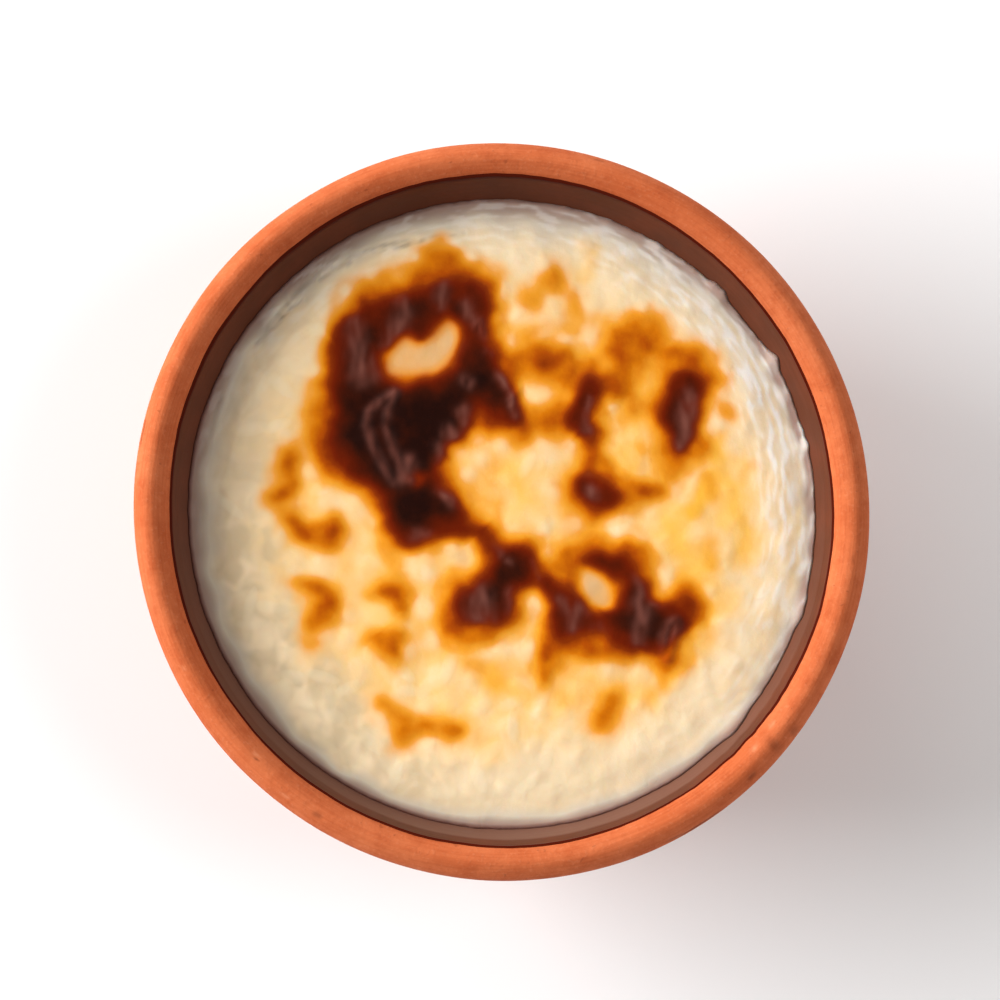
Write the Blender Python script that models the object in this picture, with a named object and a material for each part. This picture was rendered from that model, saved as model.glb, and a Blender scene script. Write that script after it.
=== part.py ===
"""A baked rice pudding in its terracotta dish.

The dish is thrown clay, with a rolled rim and a flat base. The pudding is one set mass that
fills it to a little below the rim. Its skin has puffed where the oven scorched it, and clings
to the wall all round.

Sizes are in millimetres and become metres as each mesh is finished. +Z is up, and the origin is
the centre of the base, on the surface that the dish stands on.
"""

import math

import bmesh
import bpy
from mathutils import Matrix, Vector, noise

MM = 0.001

# Dish
RIM_RADIUS = 60.0  # to the outside of the rolled rim
DISH_HEIGHT = 44.0
RIM_ROLL = 2.8  # radius of the rolled rim's section
FOOT_RADIUS = 39.0
FOOT_ROUND = 1.8  # rounding where the base turns up into the wall
FLOOR_THICKNESS = 6.0
INNER_LEAN = math.radians(23)  # of the straight inner wall, from the vertical
WALL_BELLY = 1.8  # how far the outside swells past a straight line
ROLL_UNDERCUT = math.radians(-62)  # where the roll tucks back under, from its outermost point
GROOVE_INSET = 1.9  # the shallow groove under the roll, in from the rim's outermost point
GROOVE_DROP = 6.9  # and down from the top of the rim
INNER_FILLET = 11.0  # between the inner wall and the floor
OVALNESS = 0.0072  # the long way is this share over a true circle, the short way this share under
OVAL_TURN = math.radians(121)  # direction of the long way, from +X towards +Y

# Pudding
FILL_DEPTH = 8.8  # from the top of the rim down to the pudding at the wall
TOUCH_GAP = 0.3  # clearance between the pudding and the dish
CLING_RISE = 0.7  # how far the skin climbs the wall
CLING_REACH = 1.4  # how fast it falls away from the wall
SHOULDER_RADIUS = 47.0  # inside this the set skin stands above the thin film at the wall
SHOULDER_RISE = 0.4
CROWN = 0.5  # how much the middle stands above the shoulder
SWELL_HEIGHT = 0.3  # soft lumps of rice under the skin
SWELL_LENGTH = 9.0
PUFF_HEIGHT = 0.6

# Where the skin has puffed under the main scorch marks: x, y and reach
SCORCH_PUFFS = [
    (-22.0, 26.0, 9.0),
    (-9.0, 35.0, 9.0),
    (-17.0, 12.0, 12.0),
    (-1.0, 20.0, 7.0),
    (-11.0, -1.0, 7.0),
    (30.0, 17.0, 7.0),
    (15.0, 18.0, 6.0),
    (15.0, 4.0, 6.0),
    (-4.0, -14.0, 7.0),
    (10.0, -16.0, 7.0),
    (23.0, -16.0, 8.0),
]

SEGMENTS = 84
SURFACE_RINGS = 17
CURVE_STEPS = 5
FOOT_STEPS = 3
ROLL_STEPS = 13


def clear_scene():
    for old in list(bpy.data.objects):
        bpy.data.objects.remove(old)


def arc(centre_r, centre_z, radius, start, end, steps):
    """Points of a round stretch of a turned profile, as (radius from the axis, height)."""
    points = []
    for step in range(steps + 1):
        angle = start + (end - start) * step / steps
        points.append((centre_r + radius * math.cos(angle), centre_z + radius * math.sin(angle)))
    return points


def roll_centre():
    return RIM_RADIUS - RIM_ROLL, DISH_HEIGHT - RIM_ROLL


def inner_wall_radius(height):
    """Radius of the straight inner wall, which leaves the roll at a tangent."""
    centre_r, centre_z = roll_centre()
    top_r = centre_r - RIM_ROLL * math.cos(INNER_LEAN)
    top_z = centre_z + RIM_ROLL * math.sin(INNER_LEAN)
    return top_r - (top_z - height) * math.tan(INNER_LEAN)


def outer_wall():
    """The outside, from the foot up to the groove under the roll, with its slight belly."""
    groove_r = RIM_RADIUS - GROOVE_INSET
    groove_z = DISH_HEIGHT - GROOVE_DROP
    bottom_r = FOOT_RADIUS + FOOT_ROUND
    points = []
    for step in range(1, CURVE_STEPS + 2):
        share = step / (CURVE_STEPS + 1)
        belly = WALL_BELLY * math.sin(math.pi * share)
        points.append((
            bottom_r + (groove_r - bottom_r) * share + belly,
            FOOT_ROUND + (groove_z - FOOT_ROUND) * share,
        ))
    return points


def inner_fillet(clearance):
    """The hollow's rounded corner, moved in by a clearance, from the wall down to the floor."""
    radius = INNER_FILLET - clearance
    centre_z = FLOOR_THICKNESS + INNER_FILLET
    tangent_z = centre_z - INNER_FILLET * math.sin(INNER_LEAN)
    centre_r = inner_wall_radius(tangent_z) - INNER_FILLET * math.cos(INNER_LEAN)
    return arc(centre_r, centre_z, radius, -INNER_LEAN, -math.pi / 2, CURVE_STEPS)


def dish_profile():
    centre_r, centre_z = roll_centre()
    foot = arc(FOOT_RADIUS, FOOT_ROUND, FOOT_ROUND, -math.pi / 2, -INNER_LEAN, FOOT_STEPS)
    roll = arc(centre_r, centre_z, RIM_ROLL, ROLL_UNDERCUT, math.pi - INNER_LEAN, ROLL_STEPS)
    return [(0, 0), *foot, *outer_wall(), *roll, *inner_fillet(0), (0, FLOOR_THICKNESS)]


def fade(distance, reach):
    """1 at no distance, falling smoothly to 0 at the reach."""
    share = min(abs(distance) / reach, 1)
    return (1 - share * share) ** 2


def surface_height(x, y, edge_radius):
    """Height of the pudding's skin at a point, from the broad forms that can be seen on it."""
    radius = math.hypot(x, y)
    inward = edge_radius - radius
    shoulder = 1 - fade(inward, edge_radius - SHOULDER_RADIUS + CLING_REACH)
    lumps = noise.noise(Vector((x, y, 0)) / SWELL_LENGTH) * SWELL_HEIGHT * shoulder
    puff = max(fade(math.hypot(x - px, y - py), reach) for px, py, reach in SCORCH_PUFFS)
    height = DISH_HEIGHT - FILL_DEPTH
    height += CLING_RISE * math.exp(-max(inward, 0) / CLING_REACH)
    height += SHOULDER_RISE * shoulder
    height += CROWN * (1 - (radius / edge_radius) ** 2)
    return height + lumps + PUFF_HEIGHT * puff


def pudding_edge():
    """The highest ring of the pudding, where its skin clings to the wall."""
    height = DISH_HEIGHT - FILL_DEPTH + CLING_RISE
    return inner_wall_radius(height) - TOUCH_GAP / math.cos(INNER_LEAN), height


def pudding_profile():
    """Under side and wall as the dish's hollow less the gap, then the top as even rings."""
    edge_r, edge_z = pudding_edge()
    under = [(0, FLOOR_THICKNESS + TOUCH_GAP), *reversed(inner_fillet(TOUCH_GAP))]
    rings = [edge_r * (1 - ring / SURFACE_RINGS) for ring in range(1, SURFACE_RINGS + 1)]
    return [*under, (edge_r, edge_z), *((ring_r, edge_z) for ring_r in rings)]


def turned(profile):
    """A closed body turned about Z from a profile that starts and ends on the axis."""
    form = bmesh.new()
    points = [form.verts.new((radius, 0, height)) for radius, height in profile]
    edges = [form.edges.new(pair) for pair in zip(points, points[1:])]
    bmesh.ops.spin(
        form,
        geom=[*points, *edges],
        cent=(0, 0, 0),
        axis=(0, 0, 1),
        angle=2 * math.pi,
        steps=SEGMENTS,
        use_merge=True,
    )
    bmesh.ops.remove_doubles(form, verts=form.verts, dist=0.01)
    bmesh.ops.recalc_face_normals(form, faces=form.faces)
    return form


def out_of_round():
    """The stretch that turns the true circle into the hand-thrown one."""
    stretch = Matrix.Diagonal((1 + OVALNESS, 1 - OVALNESS, 1, 1))
    return Matrix.Rotation(OVAL_TURN, 4, "Z") @ stretch @ Matrix.Rotation(-OVAL_TURN, 4, "Z")


def material(name, colour, roughness):
    made = bpy.data.materials.new(name)
    made.use_nodes = True
    shader = made.node_tree.nodes["Principled BSDF"]
    shader.inputs["Base Color"].default_value = (*colour, 1)
    shader.inputs["Roughness"].default_value = roughness
    shader.inputs["Metallic"].default_value = 0
    return made


def finish(form, name, surface):
    """Makes the node from its form: out of round, in metres, smooth but for its real edges."""
    form.transform(Matrix.Scale(MM, 4) @ out_of_round())
    mesh = bpy.data.meshes.new(name)
    form.to_mesh(mesh)
    form.free()
    mesh.shade_smooth()
    mesh.set_sharp_from_angle(angle=math.radians(50))
    mesh.materials.append(surface)
    made = bpy.data.objects.new(name, mesh)
    bpy.context.scene.collection.objects.link(made)
    return made


def make_dish():
    return finish(turned(dish_profile()), "dish", material("fired_clay", (0.60, 0.17, 0.06), 0.8))


def make_pudding():
    form = turned(pudding_profile())
    edge_r, edge_z = pudding_edge()
    for vertex in form.verts:
        radius = math.hypot(vertex.co.x, vertex.co.y)
        if vertex.co.z > edge_z - 0.01 and radius < edge_r - 0.01:
            vertex.co.z = surface_height(vertex.co.x, vertex.co.y, edge_r)
    return finish(form, "pudding", material("baked_milk", (0.86, 0.66, 0.36), 0.45))


clear_scene()
make_dish()
make_pudding()
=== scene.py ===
"""A baked rice pudding in its terracotta dish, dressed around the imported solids.

Sizes are in millimetres, and each mesh becomes metres as it is made. +Z is up, and the origin is
the centre of the base. The pudding's own left, right, top and bottom are those seen from above,
with +Y as its top.
"""

import math

import bpy
import numpy as np
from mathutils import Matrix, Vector, noise


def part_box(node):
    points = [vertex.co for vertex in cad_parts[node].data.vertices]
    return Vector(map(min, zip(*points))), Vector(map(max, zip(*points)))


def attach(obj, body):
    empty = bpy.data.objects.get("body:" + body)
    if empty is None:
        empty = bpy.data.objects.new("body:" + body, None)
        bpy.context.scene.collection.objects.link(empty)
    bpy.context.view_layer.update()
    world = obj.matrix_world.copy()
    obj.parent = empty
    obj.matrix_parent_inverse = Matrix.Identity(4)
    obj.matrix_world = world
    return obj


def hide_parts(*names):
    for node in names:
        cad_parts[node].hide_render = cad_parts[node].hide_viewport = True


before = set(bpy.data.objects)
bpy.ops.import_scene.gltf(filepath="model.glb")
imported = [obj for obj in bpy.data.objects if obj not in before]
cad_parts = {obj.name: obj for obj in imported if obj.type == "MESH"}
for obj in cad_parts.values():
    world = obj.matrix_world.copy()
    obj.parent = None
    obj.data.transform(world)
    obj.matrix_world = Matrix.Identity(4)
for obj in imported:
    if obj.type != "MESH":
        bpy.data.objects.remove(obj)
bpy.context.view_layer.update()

# ---------------------------------------------------------------------------------------------
# Dish: red earthenware, thrown on a wheel. The rim is rolled outwards, the wall keeps the
# potter's finger rings, and the flat base was cut from the wheel with a wire. It is fired bare,
# so it stays matt, and it has taken a few knocks along the rim.

MM = 0.001
DISH_LOW, DISH_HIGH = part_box("dish")
RIM_RADIUS = (DISH_HIGH.x - DISH_LOW.x + DISH_HIGH.y - DISH_LOW.y) / 4 / MM
DISH_HEIGHT = DISH_HIGH.z / MM
RIM_ROLL = 2.8
FOOT_RADIUS = 39.0
FOOT_ROUND = 1.8
FLOOR_THICKNESS = 6.0
INNER_LEAN = math.radians(23)
WALL_BELLY = 1.8
ROLL_UNDERCUT = math.radians(-62)
GROOVE_INSET = 1.9
GROOVE_DROP = 6.9
INNER_FILLET = 11.0
OVALNESS = 0.0072
OVAL_TURN = math.radians(121)
DISH_SEGMENTS = 480

ROLL_R = RIM_RADIUS - RIM_ROLL
ROLL_Z = DISH_HEIGHT - RIM_ROLL
WALL_TOP_R = ROLL_R - RIM_ROLL * math.cos(INNER_LEAN)
WALL_TOP_Z = ROLL_Z + RIM_ROLL * math.sin(INNER_LEAN)


def inner_wall_radius(height):
    return WALL_TOP_R - (WALL_TOP_Z - height) * math.tan(INNER_LEAN)


def smooth(share):
    """0 below 0 and 1 above 1, with an easy slope between."""
    share = np.clip(share, 0, 1)
    return share * share * (3 - 2 * share)


def noise_at(points, size, seed):
    """Soft noise from about -0.7 to 0.7 at each point, with lumps of about the given size."""
    flat = np.asarray(points, float).reshape(-1, 3) / size + seed * 17.3
    values = np.fromiter((noise.noise(Vector(point)) for point in flat), float, len(flat))
    return values.reshape(np.shape(points)[:-1])


def arc(centre_r, centre_z, radius, start, end, step):
    """Points along a round stretch of a turned profile, as (radius, height)."""
    count = max(int(abs(end - start) * radius / step), 3) + 1
    angle = np.linspace(start, end, count)
    return np.stack([centre_r + radius * np.cos(angle), centre_z + radius * np.sin(angle)], 1)


def line(start, end, step):
    """Points along a straight stretch, without its two ends."""
    count = int(math.dist(start, end) / step) + 2
    share = np.linspace(0, 1, count)[1:-1, None]
    return np.array(start) * (1 - share) + np.array(end) * share


def hollow_profile(clearance, step):
    """The inside from the end of the straight wall down to the axis, moved in by a clearance."""
    centre_z = FLOOR_THICKNESS + INNER_FILLET
    tangent_z = centre_z - INNER_FILLET * math.sin(INNER_LEAN)
    centre_r = inner_wall_radius(tangent_z) - INNER_FILLET * math.cos(INNER_LEAN)
    curve = arc(centre_r, centre_z, INNER_FILLET - clearance, -INNER_LEAN, -math.pi / 2, step)
    floor = line(curve[-1], (0, FLOOR_THICKNESS + clearance), step * 2)
    return np.concatenate([curve, floor, [(0, FLOOR_THICKNESS + clearance)]])


def on_circle(turn, radius, height):
    """Points on a true circle, for noise that closes on itself round the dish."""
    return np.stack(np.broadcast_arrays(np.cos(turn) * radius, np.sin(turn) * radius, height), -1)


def out_of_round(x, y):
    """The slight oval that the whole dish was pulled into."""
    c, s = math.cos(OVAL_TURN), math.sin(OVAL_TURN)
    along = (x * c + y * s) * (1 + OVALNESS)
    across = (y * c - x * s) * (1 - OVALNESS)
    return along * c - across * s, along * s + across * c


def mesh_object(name, points, faces, smooth_shade=True):
    """A mesh object in metres, from points in millimetres."""
    mesh = bpy.data.meshes.new(name)
    mesh.from_pydata((np.asarray(points) * MM).tolist(), [], faces)
    mesh.validate()
    if smooth_shade:
        mesh.shade_smooth()
    made = bpy.data.objects.new(name, mesh)
    bpy.context.scene.collection.objects.link(made)
    return made


def turned_faces(rings, segments):
    """Faces of a turned body whose first and last points lie on the axis.

    Point 0 is the first pole, then come the rings in order, and the last point is the other pole.
    """
    around = np.arange(segments)
    after = (around + 1) % segments
    low = 1 + np.arange(rings - 1)[:, None] * segments
    quads = np.stack([low + around, low + after, low + segments + after, low + segments + around], -1)
    faces = quads.reshape(-1, 4).tolist()
    last_ring = 1 + (rings - 1) * segments
    far_pole = last_ring + segments
    faces += [[0, 1 + b, 1 + a] for a, b in zip(around.tolist(), after.tolist())]
    faces += [[far_pole, last_ring + a, last_ring + b] for a, b in zip(around.tolist(), after.tolist())]
    return faces


def profile_normals(profile):
    """Unit normals of a profile that runs up the outside and down the inside, facing out."""
    along = np.gradient(profile, axis=0)
    along /= np.linalg.norm(along, axis=1, keepdims=True) + 1e-9
    return np.stack([along[:, 1], -along[:, 0]], 1)


def store(obj, name, values):
    """Keeps one number for each point of the mesh, for the material to read."""
    layer = obj.data.attributes.new(name, "FLOAT", "POINT")
    layer.data.foreach_set("value", np.asarray(values, np.float32))


OUTSIDE_STEP = 0.6
RIM_STEP = 0.3
HIDDEN_STEP = 2.5
groove = (RIM_RADIUS - GROOVE_INSET, DISH_HEIGHT - GROOVE_DROP)
share = np.linspace(0, 1, int(groove[1] / OUTSIDE_STEP))[1:, None]
foot_end = np.array([FOOT_RADIUS + FOOT_ROUND, FOOT_ROUND])
outer_wall = foot_end * (1 - share) + np.array(groove) * share
outer_wall[:, 0] += WALL_BELLY * np.sin(math.pi * share[:, 0])
roll = arc(ROLL_R, ROLL_Z, RIM_ROLL, ROLL_UNDERCUT, math.pi - INNER_LEAN, RIM_STEP)
PUDDING_LINE = 34.0  # below this height the pudding hides the inside
dish_profile = np.concatenate([
    [(0, 0)],
    line((0, 0), (FOOT_RADIUS, 0), HIDDEN_STEP),
    arc(FOOT_RADIUS, FOOT_ROUND, FOOT_ROUND, -math.pi / 2, -INNER_LEAN, RIM_STEP),
    outer_wall,
    line(groove, roll[0], RIM_STEP),
    roll,
    line(roll[-1], (inner_wall_radius(PUDDING_LINE), PUDDING_LINE), OUTSIDE_STEP),
    line(
        (inner_wall_radius(PUDDING_LINE), PUDDING_LINE),
        hollow_profile(0, HIDDEN_STEP)[0],
        HIDDEN_STEP,
    ),
    hollow_profile(0, HIDDEN_STEP),
])
for _ in range(2):  # the potter's fingers leave no sharp corner under the roll
    eased = (dish_profile[:-2] + 2 * dish_profile[1:-1] + dish_profile[2:]) / 4
    soft = (dish_profile[1:-1, 0] > groove[0] - 4) & (dish_profile[1:-1, 1] < ROLL_Z - 1)
    soft &= dish_profile[1:-1, 1] > groove[1] - 6
    dish_profile[1:-1][soft] = eased[soft]

turn = np.arange(DISH_SEGMENTS) * 2 * math.pi / DISH_SEGMENTS
facing = profile_normals(dish_profile)
ring_r, ring_z = dish_profile[1:-1, 0, None], dish_profile[1:-1, 1, None]
out_r, out_z = facing[1:-1, 0, None], facing[1:-1, 1, None]
roll_angle = np.degrees(np.arctan2(ring_z - ROLL_Z, ring_r - ROLL_R))
on_roll = np.hypot(ring_z - ROLL_Z, ring_r - ROLL_R) < RIM_ROLL + 0.2
on_roll &= ring_z > ROLL_Z - 2
on_outside = (ring_r > FOOT_RADIUS) & (out_r > 0.3) & ~on_roll

# Thrown form: finger rings that climb as a screw, a slow wobble, and two soft flats that meet
# along the crest of the rim.
RING_PITCH = 3.1
RING_DEPTH = 0.11
FINGER_PITCH = 8.3
FINGER_DEPTH = 0.22
WOBBLE = 0.16
FLAT_DEPTH = 0.13
FLATS = (48, 122)  # on the roll, in degrees above its outermost line
FLAT_SPREAD = 24
NOISE_RADIUS = 60  # of the circle that the noise round the rim is read on
round_dish = on_circle(turn, NOISE_RADIUS, ring_z)
swell = noise_at(round_dish, 24, 1)
climb = ring_z + swell * 1.2 + turn * RING_PITCH / (2 * math.pi)
fingers = ring_z + swell * 2 + turn * FINGER_PITCH / (2 * math.pi)
wall_fade = smooth((ring_z - 2) / 4) * smooth((groove[1] + 1 - ring_z) / 4)
relief = WOBBLE * swell * smooth(ring_z / 8)
relief = relief + on_outside * wall_fade * RING_DEPTH * np.sin(2 * math.pi * climb / RING_PITCH)
finger_rings = (0.5 + swell) * np.cos(2 * math.pi * fingers / FINGER_PITCH)
relief -= on_outside * wall_fade * FINGER_DEPTH * finger_rings
for flat_centre in FLATS:
    relief -= on_roll * FLAT_DEPTH * np.exp(-(((roll_angle - flat_centre) / FLAT_SPREAD) ** 2))

# Knocks and scratches: where round the rim (degrees), where on the roll (degrees above its
# outermost line), length and width, depth, and how much darker or paler than the clay.
KNOCKS = [
    (168.4, 24, 4.6, 0.35, 0.25, -1.0),
    (302.0, 14, 8.5, 0.55, 0.22, -1.0),
    (297.5, 26, 3.0, 0.45, 0.12, -0.5),
    (319.0, 70, 1.6, 3.4, 0.16, -0.35),
    (316.5, 118, 1.5, 0.9, 0.12, 0.7),
    (321.5, 126, 1.3, 0.7, 0.10, 0.6),
    (313.0, 52, 1.8, 0.9, 0.10, -0.5),
    (322.8, 40, 1.2, 2.2, 0.15, -0.4),
    (225.3, 104, 1.0, 0.45, 0.12, 0.8),
    (225.9, 96, 0.6, 0.4, 0.18, -0.7),
    (233.0, 62, 1.5, 0.6, 0.08, 0.5),
    (236.0, 84, 0.5, 1.3, 0.10, -0.5),
    (238.8, 72, 1.6, 1.1, 0.08, -0.45),
    (25.9, 62, 0.7, 0.5, 0.12, -0.6),
    (207.0, 74, 0.7, 0.4, 0.08, 0.4),
    (74.0, 40, 2.2, 0.5, 0.08, -0.35),
    (131.0, 76, 1.0, 0.4, 0.06, 0.3),
    (352.0, 82, 1.2, 0.4, 0.06, -0.3),
]
knock_shade = np.zeros(relief.shape)
for place, height, length, width, depth, shade in KNOCKS:
    off = (turn - math.radians(place) + math.pi) % (2 * math.pi) - math.pi
    along = off * RIM_RADIUS / (length / 2)
    across = np.radians(roll_angle - height) * RIM_ROLL / (width / 2)
    dent = on_roll * np.exp(-np.minimum(along**4 + across**2, 40))
    relief -= depth * dent
    knock_shade += shade * dent

x, y = out_of_round(
    (ring_r + relief * out_r) * np.cos(turn),
    (ring_r + relief * out_r) * np.sin(turn),
)
z = ring_z + relief * out_z
z = np.maximum(z, 0)
rings = len(dish_profile) - 2
points = np.stack([x, y, z], -1).reshape(-1, 3)
points = np.concatenate([[(0, 0, 0)], points, [(0, 0, FLOOR_THICKNESS)]])
dish = mesh_object("terracotta_dish", points, turned_faces(rings, DISH_SEGMENTS))
store(dish, "knock", np.concatenate([[0], knock_shade.reshape(-1), [0]]))
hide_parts("dish")
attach(dish, "root")


def new_material(name):
    made = bpy.data.materials.new(name)
    made.use_nodes = True
    nodes = made.node_tree.nodes
    return made, made.node_tree, nodes["Principled BSDF"]


def add(tree, kind, **settings):
    """A new node, with any of its own settings and, under inputs, its socket values."""
    node = tree.nodes.new(kind)
    inputs = settings.pop("inputs", {})
    for key, value in settings.items():
        setattr(node, key, value)
    for key, value in inputs.items():
        node.inputs[key].default_value = value
    return node


def math_node(tree, operation, a, b):
    """One sum of two sockets or numbers."""
    node = add(tree, "ShaderNodeMath", operation=operation)
    for socket, value in zip(node.inputs, (a, b)):
        if isinstance(value, (int, float)):
            socket.default_value = value
        else:
            tree.links.new(value, socket)
    return node.outputs[0]


def mix_colour(tree, factor, under, over):
    """One colour laid over another by a factor, each a socket or a value."""
    node = add(tree, "ShaderNodeMix", data_type="RGBA", clamp_factor=True)
    for socket, value in ((node.inputs[0], factor), (node.inputs[6], under), (node.inputs[7], over)):
        if isinstance(value, bpy.types.NodeSocket):
            tree.links.new(value, socket)
        else:
            socket.default_value = value if isinstance(value, (int, float)) else (*value, 1)
    return node.outputs[2]


def stretch(tree, value, low, high, to_low=0.0, to_high=1.0):
    """Spreads the stretch from low to high of a value over a new range, clamped at both ends."""
    node = add(tree, "ShaderNodeMapRange", clamp=True, inputs={1: low, 2: high, 3: to_low, 4: to_high})
    tree.links.new(value, node.inputs[0])
    return node.outputs[0]


def point_value(tree, name):
    """A value that was stored on the mesh under this name."""
    return add(tree, "ShaderNodeAttribute", attribute_name=name).outputs["Fac"]


def painted(tree, colour, coats):
    """Coats of (mask, where it starts, where it is full, strength, colour), one over another."""
    for mask, start, full, strength, coat in coats:
        colour = mix_colour(tree, stretch(tree, mask, start, full, 0, strength), colour, coat)
    return colour


def noise_node(tree, place, size_mm, detail=3.0, roughness=0.55, distortion=0.0):
    """Noise with lumps of about the given size, read in the dish's own metres."""
    node = add(tree, "ShaderNodeTexNoise", inputs={
        "Scale": 1 / (size_mm * MM), "Detail": detail, "Roughness": roughness, "Distortion": distortion,
    })
    tree.links.new(place, node.inputs["Vector"])
    return node.outputs["Fac"]


def wheel_lines_group():
    """Fine lines that run round the dish, left by the wheel: in the clay and under the glaze."""
    group = bpy.data.node_groups.new("wheel_lines", "ShaderNodeTree")
    group.interface.new_socket("Spacing", in_out="INPUT", socket_type="NodeSocketFloat")
    group.interface.new_socket("Wander", in_out="INPUT", socket_type="NodeSocketFloat")
    group.interface.new_socket("Lines", in_out="OUTPUT", socket_type="NodeSocketFloat")
    given = group.nodes.new("NodeGroupInput").outputs
    result = group.nodes.new("NodeGroupOutput").inputs
    place = add(group, "ShaderNodeTexCoord").outputs["Object"]
    split = add(group, "ShaderNodeSeparateXYZ")
    group.links.new(place, split.inputs[0])
    flat = add(group, "ShaderNodeCombineXYZ")
    group.links.new(split.outputs["X"], flat.inputs["X"])
    group.links.new(split.outputs["Y"], flat.inputs["Y"])
    radius = add(group, "ShaderNodeVectorMath", operation="LENGTH")
    group.links.new(flat.outputs[0], radius.inputs[0])
    bearing = add(group, "ShaderNodeVectorMath", operation="NORMALIZE")
    group.links.new(flat.outputs[0], bearing.inputs[0])
    heading = add(group, "ShaderNodeVectorMath", operation="SCALE")
    group.links.new(bearing.outputs[0], heading.inputs[0])
    group.links.new(given["Wander"], heading.inputs["Scale"])
    lift = add(group, "ShaderNodeCombineXYZ")
    group.links.new(math_node(group, "DIVIDE", split.outputs["Z"], given["Spacing"]), lift.inputs["Z"])
    vector = add(group, "ShaderNodeVectorMath", operation="ADD")
    group.links.new(heading.outputs[0], vector.inputs[0])
    group.links.new(lift.outputs[0], vector.inputs[1])
    lines = add(group, "ShaderNodeTexNoise", noise_dimensions="4D", inputs={"Scale": 1.0, "Detail": 3.0})
    group.links.new(vector.outputs[0], lines.inputs["Vector"])
    turns = math_node(group, "DIVIDE", radius.outputs["Value"], given["Spacing"])
    group.links.new(turns, lines.inputs["W"])
    group.links.new(lines.outputs["Fac"], result["Lines"])


def wheel_lines(tree, spacing, wander):
    node = add(tree, "ShaderNodeGroup", node_tree=bpy.data.node_groups["wheel_lines"])
    node.inputs["Spacing"].default_value = spacing * MM
    node.inputs["Wander"].default_value = wander
    return node.outputs["Lines"]


def bumped(tree, shader, layers):
    """Chains Bump nodes, given as (height socket, strength, depth in mm), into a shader's normal."""
    normal = None
    for height, strength, depth in layers:
        node = add(tree, "ShaderNodeBump", inputs={"Strength": strength, "Distance": depth * MM})
        tree.links.new(height, node.inputs["Height"])
        if normal is not None:
            tree.links.new(normal, node.inputs["Normal"])
        normal = node.outputs["Normal"]
    tree.links.new(normal, shader.inputs["Normal"])


wheel_lines_group()

CLAY = (0.50, 0.112, 0.036)
CLAY_PALE = (0.57, 0.148, 0.054)
CLAY_DEEP = (0.39, 0.073, 0.022)
CLAY_SPECK = (0.27, 0.055, 0.02)
CLAY_DUST = (0.70, 0.28, 0.14)
KNOCK_DARK = (0.10, 0.022, 0.010)

terracotta, tree, shader = new_material("fired_terracotta")
place = add(tree, "ShaderNodeTexCoord").outputs["Object"]
blotches = noise_node(tree, place, 14, detail=4)
mottle = noise_node(tree, place, 3.2, detail=5, roughness=0.65)
grit = noise_node(tree, place, 0.55, detail=2)
specks = noise_node(tree, place, 1.1, detail=1, distortion=0.4)
lines = wheel_lines(tree, 0.42, 5)
knock = point_value(tree, "knock")
colour = painted(tree, CLAY, [
    (blotches, 0.35, 0.65, 1, CLAY_PALE),
    (mottle, 0.42, 0.66, 0.55, CLAY_DEEP),
    (lines, 0.46, 0.62, 0.25, CLAY_DEEP),
    (lines, 0.54, 0.40, 0.20, CLAY_PALE),
    (grit, 0.55, 0.75, 0.18, CLAY_DUST),
    (specks, 0.71, 0.78, 0.5, CLAY_SPECK),
    (knock, 0, 1, 0.9, CLAY_DUST),
    (knock, 0, -0.9, 0.95, KNOCK_DARK),
])
tree.links.new(colour, shader.inputs["Base Color"])
tree.links.new(stretch(tree, mottle, 0.3, 0.7, 0.66, 0.84), shader.inputs["Roughness"])
shader.inputs["Specular IOR Level"].default_value = 0.15
bumped(tree, shader, [(mottle, 0.35, 0.25), (lines, 0.5, 0.12), (grit, 0.6, 0.10), (specks, 0.3, 0.10)])
dish.data.materials.append(terracotta)

# ---------------------------------------------------------------------------------------------
# Glaze: a clear brown coat poured inside and wiped off the rim before the one firing. It covers
# the hollow, lies thickest as a dark bead along its wavering edge, and keeps a wet shine.

GLAZE_THICKNESS = 0.14
GLAZE_EDGE = 0.35  # how far down the wall from the roll the coat ends
GLAZE_DIP = 0.55  # how much lower than that at the left and right, and higher at top and bottom
GLAZE_BEAD = 0.14  # how much thicker the bead is
GLAZE_BEAD_WIDTH = 0.55
GLAZE_BEAD_SHADE_SPREAD = 0.45  # how much wider the bead is at the upper left; its dark colour there is painted shade from the rim
GLAZE_SEGMENTS = 480
GLAZE_STEP = 0.25
GLAZE_TOP = 4.5  # the stretch below the roll that follows the wavering edge
GLAZE_TOP_ROWS = 22
GLAZE_START = 0.35  # how far it takes from nothing to its full thickness
GLAZE_RIPPLE = 0.035
FAR_FROM_BEAD = 60  # at the middle of the floor


def near_bearing(bearing, place, spread):
    """1 at a place round the dish, falling away on both sides, all in degrees."""
    off = (bearing - place + 180) % 360 - 180
    return np.exp(-((off / spread) ** 2))


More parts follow.
